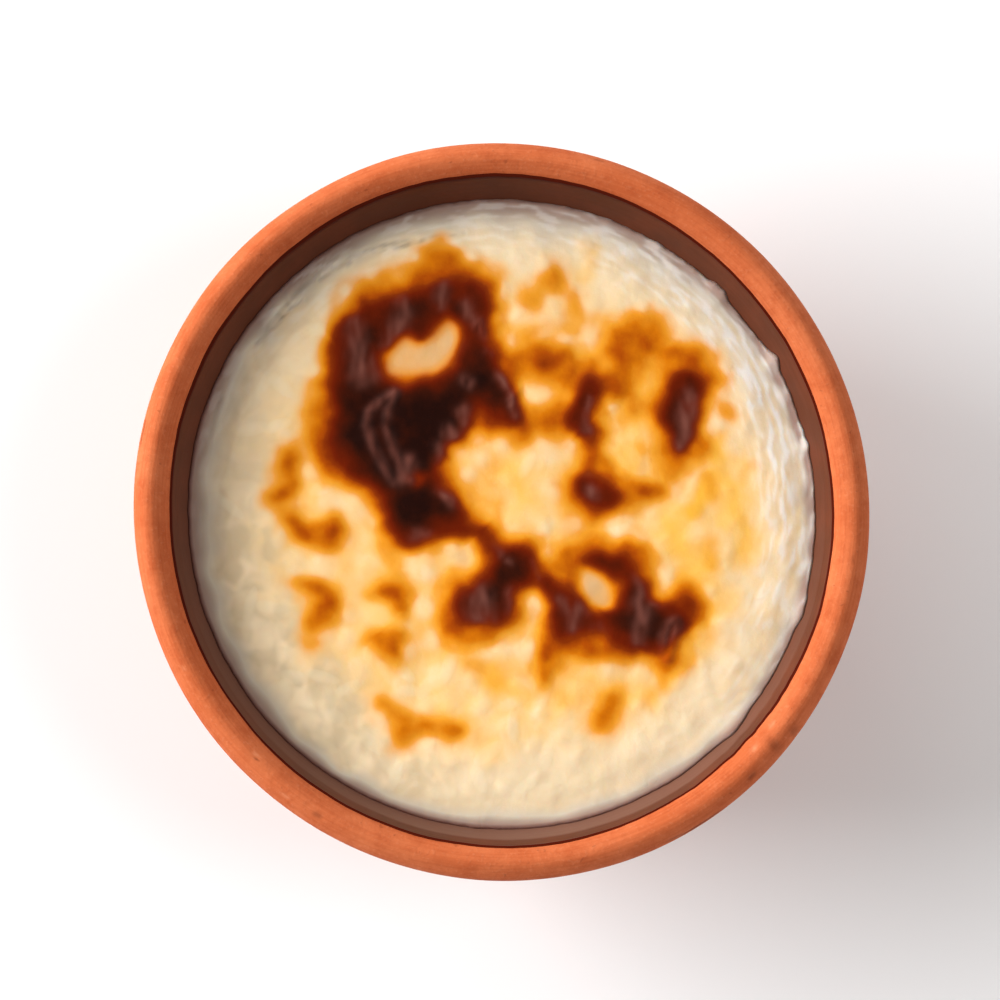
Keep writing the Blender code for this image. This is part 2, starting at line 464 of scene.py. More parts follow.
wall_end = hollow_profile(0, HIDDEN_STEP)[0]
turn = np.arange(GLAZE_SEGMENTS) * 2 * math.pi / GLAZE_SEGMENTS
bearing = np.degrees(turn)
circle = on_circle(turn, NOISE_RADIUS, 0)
waver = 0.22 * noise_at(circle, 9, 2) + 0.10 * noise_at(circle, 2.2, 3)
chipped = near_bearing(bearing, 315, 14)  # the wiped edge is rougher at the lower right
waver += chipped * 0.5 * noise_at(circle, 1.7, 19)
edge_down = GLAZE_EDGE + GLAZE_DIP * np.cos(2 * turn) + waver
top_share = np.linspace(0, 1, GLAZE_TOP_ROWS)[:, None] ** 1.3  # closest together at the bead
top_down = edge_down * (1 - top_share) + GLAZE_TOP * top_share
roll_turn = math.pi - INNER_LEAN + np.minimum(top_down, 0) / RIM_ROLL
past_roll = np.maximum(top_down, 0)
glaze_wall = np.concatenate([
    line((WALL_TOP_R, WALL_TOP_Z), (inner_wall_radius(PUDDING_LINE), PUDDING_LINE), GLAZE_STEP * 2),
    line((inner_wall_radius(PUDDING_LINE), PUDDING_LINE), wall_end, HIDDEN_STEP),
    hollow_profile(0, HIDDEN_STEP),
])
glaze_wall = glaze_wall[glaze_wall[:, 1] < WALL_TOP_Z - (GLAZE_TOP + GLAZE_STEP) * math.cos(INNER_LEAN)]
clay_r = np.concatenate([
    ROLL_R + RIM_ROLL * np.cos(roll_turn) - past_roll * math.sin(INNER_LEAN),
    np.repeat(glaze_wall[:-1, 0, None], GLAZE_SEGMENTS, 1),
])
clay_z = np.concatenate([
    ROLL_Z + RIM_ROLL * np.sin(roll_turn) - past_roll * math.cos(INNER_LEAN),
    np.repeat(glaze_wall[:-1, 1, None], GLAZE_SEGMENTS, 1),
])
fall = np.hypot(np.diff(clay_r, axis=0, prepend=clay_r[:1]), np.diff(clay_z, axis=0, prepend=clay_z[:1]))
down = np.cumsum(fall, axis=0)
tangent_r = np.gradient(clay_r, axis=0)
tangent_z = np.gradient(clay_z, axis=0)
size = np.hypot(tangent_r, tangent_z)
normal_r, normal_z = tangent_z / size, -tangent_r / size
# The bead is wider at the upper left, and its dark colour with it, as painted shade where the rim shades
# the wall.
bead_width = GLAZE_BEAD_WIDTH + GLAZE_BEAD_SHADE_SPREAD * near_bearing(bearing, 115, 50)
bead = GLAZE_BEAD * np.exp(-(((down / bead_width - 0.45) / 0.5) ** 2))
start = smooth(down / GLAZE_START)
thick = (GLAZE_THICKNESS + bead) * start
ripple = np.stack([clay_r * np.cos(turn), clay_r * np.sin(turn), clay_z * 3], -1)
thick = thick + GLAZE_RIPPLE * noise_at(ripple, 5, 4) * start
coat_r, coat_z = clay_r + normal_r * thick, clay_z + normal_z * thick
BITE = 0.3  # the coat's back is sunk this far into the clay, out of sight
back_r, back_z = clay_r[::-1] - normal_r[::-1] * BITE, clay_z[::-1] - normal_z[::-1] * BITE
body_r = np.concatenate([coat_r[::-1], back_r[::-1]])
body_z = np.concatenate([coat_z[::-1], back_z[::-1]])
x, y = out_of_round(body_r * np.cos(turn), body_r * np.sin(turn))
points = np.stack([x, y, body_z], -1).reshape(-1, 3)
points = np.concatenate([
    [(0, 0, FLOOR_THICKNESS + GLAZE_THICKNESS)],
    points,
    [(0, 0, FLOOR_THICKNESS - BITE)],
])
glaze = mesh_object("brown_glaze", points, turned_faces(len(body_r), GLAZE_SEGMENTS))
depth_below_edge = np.concatenate([down[::-1], down])
across_bead = depth_below_edge / bead_width
across_bead_values = [[FAR_FROM_BEAD], across_bead.reshape(-1), [FAR_FROM_BEAD]]
store(glaze, "across_bead", np.concatenate(across_bead_values))
# Greyer colour along the near side: partly milk left where the pudding boiled up against the
# coat, partly a painted reflection of the lit pudding in the glaze.
milk_and_sheen = near_bearing(bearing, 275, 58) * (0.02 + 0.98 * smooth((depth_below_edge - 2.6) / 0.9))
milk_and_sheen = milk_and_sheen + 0.42 * near_bearing(bearing, 208, 35)
milk_and_sheen = np.broadcast_to(np.minimum(milk_and_sheen, 1), across_bead.shape)
store(glaze, "milk_and_sheen", np.concatenate([[0], milk_and_sheen.reshape(-1), [0]]))
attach(glaze, "root")

GLAZE_BODY = (0.098, 0.029, 0.0142)
GLAZE_THIN = (0.145, 0.038, 0.018)
# Milk on the coat, and painted reflection of the pudding.
GLAZE_MILK_AND_SHEEN = (0.175, 0.082, 0.055)
GLAZE_THICK = (0.066, 0.005, 0.001)

brown_glaze, tree, shader = new_material("clear_brown_glaze")
place = add(tree, "ShaderNodeTexCoord").outputs["Object"]
clouds = noise_node(tree, place, 7, detail=4)
lines = wheel_lines(tree, 0.7, 4)
colour = painted(tree, GLAZE_BODY, [
    (clouds, 0.4, 0.65, 0.6, GLAZE_THIN),
    (lines, 0.45, 0.65, 0.5, GLAZE_BODY),
    # milk on the coat, and painted reflection
    (point_value(tree, "milk_and_sheen"), 0, 1, 0.9, GLAZE_MILK_AND_SHEEN),
    (point_value(tree, "across_bead"), 1.5, 0.8, 0.95, GLAZE_THICK),
])
tree.links.new(colour, shader.inputs["Base Color"])
tree.links.new(stretch(tree, clouds, 0.3, 0.7, 0.28, 0.42), shader.inputs["Roughness"])
shader.inputs["Specular IOR Level"].default_value = 0.06
bumped(tree, shader, [(lines, 0.35, 0.08), (clouds, 0.3, 0.2)])
glaze.data.materials.append(brown_glaze)

# ---------------------------------------------------------------------------------------------
# Pudding: rice simmered in sweet milk, set firm, then browned under a fierce grill. The skin
# has swollen into soft lumps over the grains and scorched where it stands highest. Round the
# edge it thins to a film of milk that climbs the glazed wall.

FILL_DEPTH = 8.8
CLING_RISE = 0.7
CLING_REACH = 1.4
SHOULDER_RADIUS = 47.0
SHOULDER_RISE = 0.4
CROWN = 0.5
SWELL_HEIGHT = 0.3
SWELL_LENGTH = 9.0
PUFF_HEIGHT = 0.4
PILLOW_HEIGHT = 0.10  # smaller swellings between the lumps
PILLOW_LENGTH = 4.6
LUMP_HEIGHT = 0.14
STRAND_HEIGHT = 0.022
WRINKLE_DEPTH = 0.05
PIMPLE_HEIGHT = 0.02
PIMPLE_LENGTH = 0.9
GRID = 290  # squares across the skin
PUDDING_GAP = 0.05  # between the pudding and the glaze

EDGE_HEIGHT = DISH_HEIGHT - FILL_DEPTH + CLING_RISE
WALL_CLEARANCE = (GLAZE_THICKNESS + PUDDING_GAP) / math.cos(INNER_LEAN)
EDGE_RADIUS = inner_wall_radius(EDGE_HEIGHT) - WALL_CLEARANCE


OUTLINE_STEPS = 5  # straight pieces between two points of an outline


def path_distance(x, y, path):
    """Distance outside a path of (x, y, half width), and its half width there."""
    nearest = np.full(np.shape(x), 1e9)
    width = np.ones(np.shape(x))
    for (ax, ay, aw), (bx, by, bw) in zip(path, path[1:] or path):
        run = max((bx - ax) ** 2 + (by - ay) ** 2, 1e-9)
        share = np.clip(((x - ax) * (bx - ax) + (y - ay) * (by - ay)) / run, 0, 1)
        wide = aw + share * (bw - aw)
        away = np.hypot(x - ax - share * (bx - ax), y - ay - share * (by - ay)) - wide
        width = np.where(away < nearest, wide, width)
        nearest = np.minimum(nearest, away)
    return nearest, width


def laid(x, y, marks, spread=8):
    """Strokes of (strength, softness, path), half as strong at their half width, laid together."""
    total = np.zeros(np.shape(x))
    for strength, softness, path in marks:
        away, width = path_distance(x, y, path)
        steepness = np.clip(2.4 * width / softness, 2, 5)
        cover = strength * 0.5 ** (((away + width) / width) ** steepness)
        total += cover**spread
    return total ** (1 / spread)


def closed_curve(outline):
    """A smooth closed curve through the points of an outline (Catmull-Rom)."""
    here = np.array(outline, float)
    before, after, beyond = (np.roll(here, turns, axis=0) for turns in (1, -1, -2))
    share = np.linspace(0, 1, OUTLINE_STEPS, endpoint=False)[:, None, None]
    curve = here + (after - before) / 2 * share
    curve = curve + (before - 2.5 * here + 2 * after - beyond / 2) * share**2
    curve = curve + (1.5 * (here - after) + (beyond - before) / 2) * share**3
    return curve.transpose(1, 0, 2).reshape(-1, 2)


def outline_distance(x, y, outline):
    """Distance outside the smooth curve through an outline's points, negative inside."""
    corners = closed_curve(outline)
    nearest = np.full(np.shape(x), 1e9)
    inside = np.zeros(np.shape(x), bool)
    for (ax, ay), (bx, by) in zip(corners, np.roll(corners, -1, axis=0)):
        run = max((bx - ax) ** 2 + (by - ay) ** 2, 1e-9)
        share = np.clip(((x - ax) * (bx - ax) + (y - ay) * (by - ay)) / run, 0, 1)
        nearest = np.minimum(nearest, np.hypot(x - ax - share * (bx - ax), y - ay - share * (by - ay)))
        inside ^= ((ay > y) != (by > y)) & (x < ax + (bx - ax) * (y - ay) / (by - ay + 1e-12))
    return np.where(inside, -nearest, nearest)


def filled(x, y, areas, spread=8):
    """Areas of (strength, softness, outline) laid over each other, the stronger one showing."""
    total = np.zeros(np.shape(x))
    for strength, softness, outline in areas:
        cover = strength * smooth(0.5 - outline_distance(x, y, outline) / (2 * softness))
        total += cover**spread
    return total ** (1 / spread)


def soften(values, reach):
    """Evens out values on the skin's grid over a reach given in squares of that grid."""
    far = int(reach * 2.5)
    weights = np.exp(-0.5 * (np.arange(-far, far + 1) / reach) ** 2)
    rows = np.reshape(values, (GRID + 1, GRID + 1))
    for _ in range(2):  # along the grid, then across it
        padded = np.pad(rows, ((0, 0), (far, far)), "edge")
        rows = sum(
            weight * padded[:, step:step + GRID + 1]
            for step, weight in enumerate(weights / weights.sum())
        ).T
    return rows.reshape(-1)


# The scorch marks as outlines, one inside another as each mark darkens: how burnt (0.2 golden,
# 0.4 orange-brown, 0.75 dark, 1 charred), how softly the edge fades, and the turns of the outline.
SCORCHED_AREAS = [
    (0.42, 1.5, [  # the great mark at the upper left
        (-27, 31), (-28, 25.5), (-30.5, 19.5), (-31.5, 13), (-30.5, 7), (-26.5, 4.5), (-23, 3),
        (-20, -2), (-18.5, -6.5), (-14, -6.5), (-10, -5), (-6, -4.5), (-2.5, -2), (-5.5, 0),
        (-7, 4), (-8.5, 9.5), (-4, 12.5), (2.5, 13), (6.5, 14.5), (3, 18.5), (3, 24), (0, 28),
        (0, 32), (-1, 37), (-3, 39), (-12.5, 38.5), (-18, 37), (-24, 36.5),
    ]),
    (0.40, 1.7, [  # the paler crest above it
        (-16.5, 37.5), (-11.5, 42.5), (-9, 43.5), (-5.5, 41), (-1, 39), (-3, 36.5), (-10, 36),
        (-22, 34.5), (-20.5, 36),
    ]),
    (0.77, 1.9, [  # the dark part of both, with their left limb and top
        (-22.5, 35), (-26.5, 32), (-28.5, 28), (-28.5, 22), (-28, 16), (-29, 11), (-26.5, 7),
        (-20.5, 2), (-18.5, -3), (-16.5, -6), (-12, -5), (-6.5, -3), (-6, 1), (-9.5, 6),
        (-9.5, 9), (-6, 12), (-3.5, 14.5), (1.5, 14), (5, 14), (2.5, 19), (1, 23.5), (-1.5, 27),
        (-1.5, 32), (-2.5, 37), (-6, 38.5), (-12, 37.5), (-19, 35.5),
    ]),
    (0.87, 1.8, [  # its darkest skin, up the limb and over the top
        (-23.5, 29.5), (-25.5, 25), (-26, 20.5), (-21, 19), (-20, 21.5), (-21, 25), (-18.5, 29.5),
        (-12, 31.5), (-10.5, 33.5), (-13, 35.5), (-18, 33.5),
    ]),
    (0.94, 1.9, [  # its burnt body, below the pale island
        (-25.5, 22), (-27, 19.5), (-26.5, 15), (-26, 10.5), (-24, 7), (-19.5, 3.5), (-18, -2), (-14.5, -4),
        (-11, -2), (-7.5, -1), (-7.5, 1.5), (-10.5, 5), (-10.5, 9), (-6, 14), (-5.5, 17.5),
        (-3.5, 19), (1, 16.5), (1, 20), (-0.5, 24.5), (-3.5, 26.5), (-7.5, 23.5), (-11, 20.5),
        (-18, 20.5), (-22, 22),
    ]),
    (0.41, 1.5, [  # the chain that runs down from it, and the block at its foot
        (-5.5, -2.5), (-1, -2), (1, -4.5), (5, -4.5), (7, -7.5), (9.5, -11), (8, -13.5),
        (4.5, -13), (3.5, -15), (4, -17.5), (-4.5, -21.5), (-9.5, -21), (-10.5, -17),
        (-8.5, -11), (-4.5, -9.5), (-4, -6.5),
    ]),
    (0.41, 1.5, [  # the ring at the lower right, with its hook
        (9.5, -6), (13.5, -4.5), (18.5, -5), (22, -4), (24.5, -7.5), (25.5, -13), (27.5, -14),
        (30.5, -11), (32.5, -12.5), (33.5, -18), (30, -20.5), (29.5, -24), (26.5, -26),
        (23, -23), (19.5, -23.5), (16.5, -22), (11, -23), (7, -25.5), (5.5, -23), (6.5, -16),
        (6, -12.5), (8.5, -9),
    ]),
    (0.40, 1.6, [  # the tall patch at the right
        (26, 27), (30.5, 27.5), (35, 24.5), (36, 21), (33.5, 18.5), (32.5, 14.5), (34.5, 11.5),
        (33.5, 9.5), (30.5, 8.5), (28.5, 6), (26.5, 7.5), (25.5, 13), (24.5, 17), (26, 21),
    ]),
    (0.39, 1.6, [  # the slanting mark right of the middle
        (13, 21.5), (14.5, 24), (17.5, 24.5), (19, 26), (21, 25), (22, 20.5), (20.5, 18.5), (17, 18.5),
        (16.5, 16), (17, 12.5), (13, 12), (6.5, 14), (7.5, 17),
    ]),
    (0.40, 1.6, [  # the spot at the foot of its stem
        (10.5, 5), (12.5, 7), (17, 7), (23.5, 4.5), (22.5, 1.5), (18, 0), (15, -1.5), (11.5, 1),
    ]),
    (0.38, 1.7, [  # the orange patch above it
        (17, 28), (18.5, 30.5), (24.5, 32.5), (27, 30), (27, 27.5), (24, 25.5), (20.5, 24), (17.5, 25),
    ]),
    (0.38, 1.6, [  # the small mark in the upper middle, and its arm to the great mark
        (1.5, 25.5), (3.5, 27), (6, 28.5), (8, 27.5), (12, 27), (13, 24), (11, 21.5), (7.5, 21),
        (4.5, 22.5), (1.5, 22.5),
    ]),
    (0.74, 1.7, [  # the dark part of the chain and the block
        (-6, -3), (-2.5, -3), (0.5, -6), (4.5, -6), (6.5, -9), (10, -11.5), (9, -13.5),
        (4.5, -12.5), (2.5, -14), (1.5, -17.5), (-5, -19), (-8, -17.5), (-8.5, -14.5),
        (-6.5, -12), (-3, -10), (-2.5, -7),
    ]),
    (0.90, 1.6, [  # and their darkest skin
        (-1.5, -7.5), (4, -7), (5, -10), (2, -12), (0.5, -16), (-2.5, -17), (-5, -14), (-2, -11),
    ]),
    (0.74, 1.7, [  # the dark part of the ring
        (13.5, -6.5), (17, -6), (22.5, -8.5), (24.5, -12.5), (27, -14.5), (30.5, -13.5),
        (31, -18), (28.5, -21), (25, -23.5), (19, -22), (14.5, -20), (9, -21.5), (7.5, -19),
        (7.5, -15.5), (6, -11), (10.5, -11.5), (15, -16), (18.5, -15), (18, -11.5), (13.5, -8.5),
    ]),
    (0.91, 1.7, [  # and its darkest skin
        (21, -11.5), (23, -11.5), (25, -15), (28.5, -16.5), (28.5, -19.5), (24.5, -21.5),
        (19, -19.5), (18.5, -17), (20, -15),
    ]),
    (0.80, 1.2, [  # the dark part of the tall patch
        (28, 21.5), (30, 23.5), (33.5, 22), (33, 17.5), (31.5, 11.5), (29, 9.5), (27, 12),
        (26, 16),
    ]),
    (0.73, 1.5, [  # and of the slanting mark
        (14.5, 22.5), (17.5, 22.5), (17, 20), (15.5, 17.5), (16, 13.5), (14.5, 12), (10, 14.5),
        (12, 19),
    ]),
    (0.73, 1.5, [  # and of the spot
        (12, 5.5), (14.5, 7.5), (17, 5.5), (20, 3), (18.5, 0.5), (15.5, 0), (12, 3),
    ]),
]

# Strokes laid over them: the darker hearts of those marks, and all the small marks.
SCORCHES = [
    # in the great mark: its charred heart and foot, and a darker streak up each limb
    (0.97, 3.0, [(-20, 17, 2.4), (-15, 18, 2.6), (-12, 14, 2.6), (-16, 9, 2.6)]),
    (1.00, 2.4, [(-13.8, 17, 1.8), (-13.6, 13.4, 2.4)]),
    (1.00, 2.2, [(-16.6, 0.8, 1.7), (-12.8, 1.2, 1.9)]),
    (0.98, 1.8, [(-8, 20.4, 1.2), (-9.8, 17.2, 1.6)]),
    (0.72, 1.5, [(-6.2, 36.2, 1.3), (-3.4, 36, 1.2), (-4, 32.4, 1.0)]),
    (0.74, 1.4, [(-3.4, 29.8, 0.8), (-3.8, 26.8, 1.2)]),
    (0.84, 1.3, [(-19.4, 32.2, 1.0), (-20, 29, 1.5), (-21.6, 26.4, 1.2)]),
    # in the chain and the block
    (0.60, 1.4, [(-9, -3.4, 1.2), (-5.4, -3.4, 1.3), (-2.6, -3.6, 1.3)]),
    (0.86, 1.3, [(-0.6, -7, 0.9), (3.6, -7.2, 0.9)]),
    (0.64, 1.2, [(5.6, -10, 0.8), (7.6, -12, 1.2), (9.6, -13.6, 1.2)]),
    # in the ring and its hook
    (0.97, 1.6, [(24, -17.2, 1.2), (25.2, -18.6, 1.4), (24.6, -20, 1.1)]),
    (0.86, 1.3, [(21.6, -11.4, 1.0), (21.4, -15.6, 1.3)]),
    (0.80, 1.3, [(10, -15.6, 0.8), (12, -16, 1.2), (12.6, -15, 0.8)]),
    (0.82, 1.3, [(17, -18.8, 1.2), (19.6, -18.6, 1.4)]),
    # in the tall patch, the slanting mark and its spot
    (0.88, 1.3, [(29.2, 20.6, 0.9), (29, 18.4, 1.5), (29.6, 16.6, 1.5), (28.8, 14, 1.2)]),
    (0.79, 1.2, [(14.2, 18.8, 0.9), (13.9, 16.6, 1.3), (12.6, 15.4, 1.0)]),
    (0.88, 1.3, [(13.6, 4.8, 1.3), (14.6, 3.2, 1.2), (15.6, 1.8, 0.9)]),
    (0.62, 1.4, [(14.8, 12.2, 1.3), (14.8, 9.6, 1.2), (14.4, 7.6, 1.3)]),
    (0.40, 1.4, [(16.8, 8.8, 1.0), (18.2, 7.6, 1.1)]),
    (0.40, 1.5, [(21.4, 3.8, 1.9), (24, 3.6, 1.5), (26.8, 3.6, 1.1)]),
    (0.24, 1.5, [(27.6, 4.6, 1.0), (28.2, 6.6, 0.9)]),
    (0.44, 1.5, [(22.8, 29.8, 1.1), (23.8, 28.6, 1.3)]),
    (0.49, 1.5, [(19.4, 27.6, 1.2), (21.2, 26.6, 1.4)]),
    (0.54, 1.4, [(5.4, 24.4, 1.1), (8, 24.2, 1.2), (10, 24.6, 1.0)]),
    # small marks, upper middle and right
    (0.30, 1.8, [(-12, 42.4, 1.0), (-9.6, 42.4, 1.4)]),
    (0.32, 1.8, [(9, 39.6, 1.1), (8.4, 38, 1.6)]),
    (0.23, 1.8, [(6.8, 36.8, 1.0), (5.2, 35, 2.1)]),
    (0.21, 1.6, [(10, 37.2, 1.2), (12, 35.6, 1.0), (12.6, 32.8, 1.2)]),
    (0.33, 1.5, [(11.4, 21.4, 1.5), (12.6, 24, 1.0), (15.6, 24.6, 1.2)]),
    (0.36, 1.5, [(27.4, 26.4, 1.3), (32.4, 25.8, 1.6)]),
    (0.22, 1.7, [(36.8, 18, 1.2), (37.4, 15.8, 1.2)]),
    (0.20, 1.7, [(36.8, 20.4, 1.0)]),
    (0.36, 1.6, [(5.6, 16.4, 1.2), (4.6, 12.6, 1.4), (2.6, 11.6, 1.2)]),
    (0.40, 1.6, [(4.6, 14.8, 1.2), (7.6, 14.2, 1.5), (10.4, 13.6, 1.6)]),
    (0.42, 1.5, [(16.4, 22.6, 1.2), (19.2, 24.0, 1.4)]),
    (0.27, 1.8, [(22.6, 17.4, 2.0), (21.4, 20, 1.0), (23, 22.6, 2.0)]),
    # small marks, left and lower left
    (0.25, 2.0, [(-33.6, 11, 1.4), (-35.2, 9, 1.3)]),
    (0.46, 1.7, [(-34.8, 9.4, 1.1), (-35, 6.6, 1.6), (-35.2, 4.6, 1.9), (-36.4, 2.2, 1.6)]),
    (0.32, 1.7, [(-36.4, 1.6, 1.5), (-35.2, -0.4, 1.4)]),
    (0.45, 1.6, [(-34.6, -1.5, 1.2), (-32.5, -3.6, 1.8), (-29.9, -4.0, 2.3), (-27.6, -3.9, 2.1)]),
    (0.38, 1.6, [(-27.6, -1.6, 1.1), (-27, -3.4, 1.4), (-27.6, -5.8, 1.2)]),
    (0.44, 1.7, [(-31, -12.6, 1.5), (-28.8, -14.4, 1.9), (-29.4, -16.8, 1.9), (-30.8, -19, 1.5)]),
    (0.24, 1.8, [(-33.6, -11.8, 1.2), (-30.2, -11.8, 1.0)]),
    (0.22, 1.8, [(-31.4, -21.6, 1.6)]),
    (0.44, 1.7, [(-19, -13.2, 1.6), (-16.6, -13.6, 1.9), (-16.4, -16.2, 1.0)]),
    (0.22, 1.8, [(-21.4, -13.8, 1.2), (-17.4, -10.8, 0.9), (-18.2, -8, 1.4)]),
    (0.22, 1.6, [(-16.8, -18, 1.0), (-18, -19.6, 1.2)]),
    (0.42, 1.8, [(-20.4, -21.2, 1.7), (-17.8, -21.8, 2.1), (-17.4, -23.4, 1.1)]),
    (0.22, 1.6, [(-18.6, -24.4, 1.2)]),
    (0.34, 1.6, [(-19.8, -31.8, 1.3), (-17.4, -33, 1.3), (-15.4, -34.2, 1.1)]),
    (0.38, 1.5, [(-16.6, -36.4, 1.7), (-13.2, -35, 1.3), (-9.2, -35.6, 1.4), (-6.6, -35.8, 1.0)]),
    (0.14, 2.0, [(-1, -28, 1.8), (-5, -25, 1.6)]),
    (0.22, 2.2, [(-22.4, 37.2, 1.5), (-16, 39.2, 1.6)]),
    # small marks, lower right
    (0.33, 1.6, [(9, -24.4, 1.6), (7.2, -25.8, 1.5), (6.8, -27.6, 1.1)]),
    (0.46, 1.4, [(26.8, -24, 1.2), (26.6, -25.8, 1.1)]),
    (0.32, 1.4, [(30.2, -20.2, 1.1), (29.6, -23.2, 1.1)]),
    (0.44, 1.3, [(20.4, -23.2, 1.2), (12, -22.8, 1.2)]),
    (0.33, 2.0, [(18.6, -29.6, 1.2), (16.9, -31.9, 2.1), (16.4, -34.2, 1.8)]),
    (0.14, 1.6, [(26, -28, 1.2), (22.4, -31.6, 1.2)]),
    (0.13, 1.6, [(10, -31.6, 1.2)]),
    (0.16, 1.8, [(34, -4.8, 1.2), (34, -8.4, 1.2)]),
    (0.24, 1.8, [(34.4, 5.6, 1.4), (34.4, 3, 1.4)]),
    (0.26, 1.5, [(31.4, 0.4, 1.4)]),
    (0.14, 1.8, [(41, 7.4, 1.4), (40.4, 5.4, 1.2)]),
    (0.14, 1.8, [(15, -4, 1.6), (11.6, -2.2, 1.4)]),
    (0.14, 1.8, [(-5, 4, 1.6), (-5.2, 2.4, 1.6), (0, 0.8, 1.6)]),
    (0.13, 1.8, [(0, 29.6, 1.6), (14, 30.6, 1.4)]),
]

# Pale places left inside the marks, where the skin sank: how pale, how soft, and the outline.
PALE_AREAS = [
    (0.95, 1.9, [  # the island in the great mark
        (-19.5, 23), (-18.5, 26), (-15.5, 28.5), (-12.5, 28), (-9, 31.5), (-6.5, 29), (-8, 25),
        (-12, 22.5), (-17.5, 22),
    ]),
    (0.40, 1.1, [(-19.5, 22.5), (-17, 21), (-12, 21), (-11.5, 22.5), (-15, 23.5)]),
    (0.92, 1.1, [  # the hole of the ring
        (13, -9.5), (15, -9.5), (17.5, -12), (18, -15), (15, -15.5), (13, -12),
    ]),
    (0.70, 1.1, [(4, -14.5), (6, -14.5), (6.5, -17), (5, -19), (3.5, -17.5)]),
    (0.80, 1.0, [(-8.5, -6.5), (-6, -5.5), (-5, -7.5), (-6.5, -10), (-9, -8.5)]),
    (0.30, 1.0, [(-4.5, 18), (-2.5, 17.5), (-2, 15.5), (-4, 14.5)]),
    (0.36, 1.2, [(-16, 5.5), (-13.5, 6.5), (-12, 5), (-13.5, 3.5)]),
    (0.12, 0.9, [(14.5, 4.5), (15.5, 4.5), (15.5, 3), (14.5, 3)]),
    (0.30, 0.9, [(-24.5, 35), (-23.5, 35), (-23, 33.5), (-24, 33)]),
]

# Warm yellow places where the milk has just begun to colour.
BUTTER_PLACES = [
    (0.95, 4.0, [(34, 3.6, 2.2), (31, -0.6, 1.8)]),
    (0.80, 4.5, [(36, 10, 2.0), (38, 4, 3.0), (40, -6, 2.4)]),
    (0.75, 4.5, [(28, -2, 3.0), (32, -9, 3.0)]),
    (0.55, 4.0, [(33, -6, 2.0), (36, -14, 2.0), (33, -21, 2.0)]),
    (0.60, 4.5, [(2, 6, 3.0), (4, 2, 3.0)]),
    (0.65, 4.0, [(-1.5, -27.5, 2.5), (3, -30, 2.0)]),
    (0.45, 4.5, [(9, -31.5, 2.5), (14, -27, 2.0), (23, -31, 2.5)]),
    (0.50, 4.0, [(27, -26, 2.0), (31, -22, 2.0)]),
    (0.45, 4.0, [(13.5, 38, 1.5), (15, 43, 1.5)]),
    (0.45, 4.0, [(20, 8, 4.0), (24, 20, 3.0)]),
    (0.40, 5.0, [(-22, -12, 4.0), (-19, -18, 3.0)]),
    (0.35, 5.0, [(-8, -33, 4.0), (-2, -38, 3.0)]),
]

# Warm places where the whole skin has begun to toast.
TOAST_PLACES = [
    (0.10, 4.0, [(-4, 10, 4.0), (0, 4, 4.0)]),
    (0.18, 4.0, [(22, 8, 2.5), (22, 14, 3.0), (20, 20, 2.5), (24, 24, 2.5)]),
    (0.14, 3.5, [(10, 31, 3.0), (15, 31, 2.5)]),
    (0.14, 3.5, [(37, 17, 2.0), (36, 12, 2.0)]),
    (0.10, 3.5, [(30, -3, 2.5), (34, -8, 2.0)]),
    (0.09, 3.5, [(-10, -8, 4.0), (-14, -20, 3.0), (-2, -26, 3.0), (16, -30, 4.0)]),
    (0.08, 3.5, [(-30, 14, 2.5), (-28, -10, 4.0), (-24, -20, 3.0)]),
]

side = np.linspace(-1, 1, GRID + 1)
sx, sy = np.meshgrid(side, side, indexing="xy")
with np.errstate(divide="ignore", invalid="ignore"):
    by_x = np.where(sx != 0, math.pi / 4 * sy / sx, 0)
    by_y = np.where(sy != 0, math.pi / 2 - math.pi / 4 * sx / sy, 0)
bearing = np.where(np.abs(sx) > np.abs(sy), by_x, by_y)
signed = np.where(np.abs(sx) > np.abs(sy), sx, sy)
skin_x = (signed * np.cos(bearing) * EDGE_RADIUS).reshape(-1)
skin_y = (signed * np.sin(bearing) * EDGE_RADIUS).reshape(-1)
skin_r = np.hypot(skin_x, skin_y)
skin_turn = np.degrees(np.arctan2(skin_y, skin_x))
inward = EDGE_RADIUS - skin_r
level = np.stack([skin_x, skin_y, np.zeros(len(skin_x))], 1)

LIGHTEST_DARK = 0.5  # marks above this are charred skin, and those below it the fringe round them

# Edges of a mark wander, because the skin under it is lumpy.
WANDER = 0.65
WANDER_LENGTH = 3.6
FINE_WANDER = 0.14
FINE_WANDER_LENGTH = 1.5
wander_x, wander_y = (
    WANDER * noise_at(level, WANDER_LENGTH, seed)
    + FINE_WANDER * noise_at(level, FINE_WANDER_LENGTH, seed + 1)
    for seed in (5, 7)
)
moved_x, moved_y = skin_x + wander_x, skin_y + wander_y
fringe = [area for area in SCORCHED_AREAS if area[0] < LIGHTEST_DARK]
burnt = [area for area in SCORCHED_AREAS if area[0] > LIGHTEST_DARK]
faint = [mark for mark in SCORCHES if mark[0] < LIGHTEST_DARK]
strong = [mark for mark in SCORCHES if mark[0] > LIGHTEST_DARK]
light = np.maximum(filled(moved_x, moved_y, fringe), laid(moved_x, moved_y, faint))
dark = np.maximum(filled(moved_x, moved_y, burnt), laid(moved_x, moved_y, strong))
BLEND = 3.5  # how firmly the stronger of the two shows
SCORCH_SOFTENING = 2.2  # in squares of the grid
SUNK_SOFTENING = 1.6
scorch = soften((light**BLEND + dark**BLEND) ** (1 / BLEND), SCORCH_SOFTENING)
sunk = soften(filled(moved_x, moved_y, PALE_AREAS), SUNK_SOFTENING)
butter = laid(skin_x + wander_x * 3, skin_y + wander_y * 3, BUTTER_PLACES)

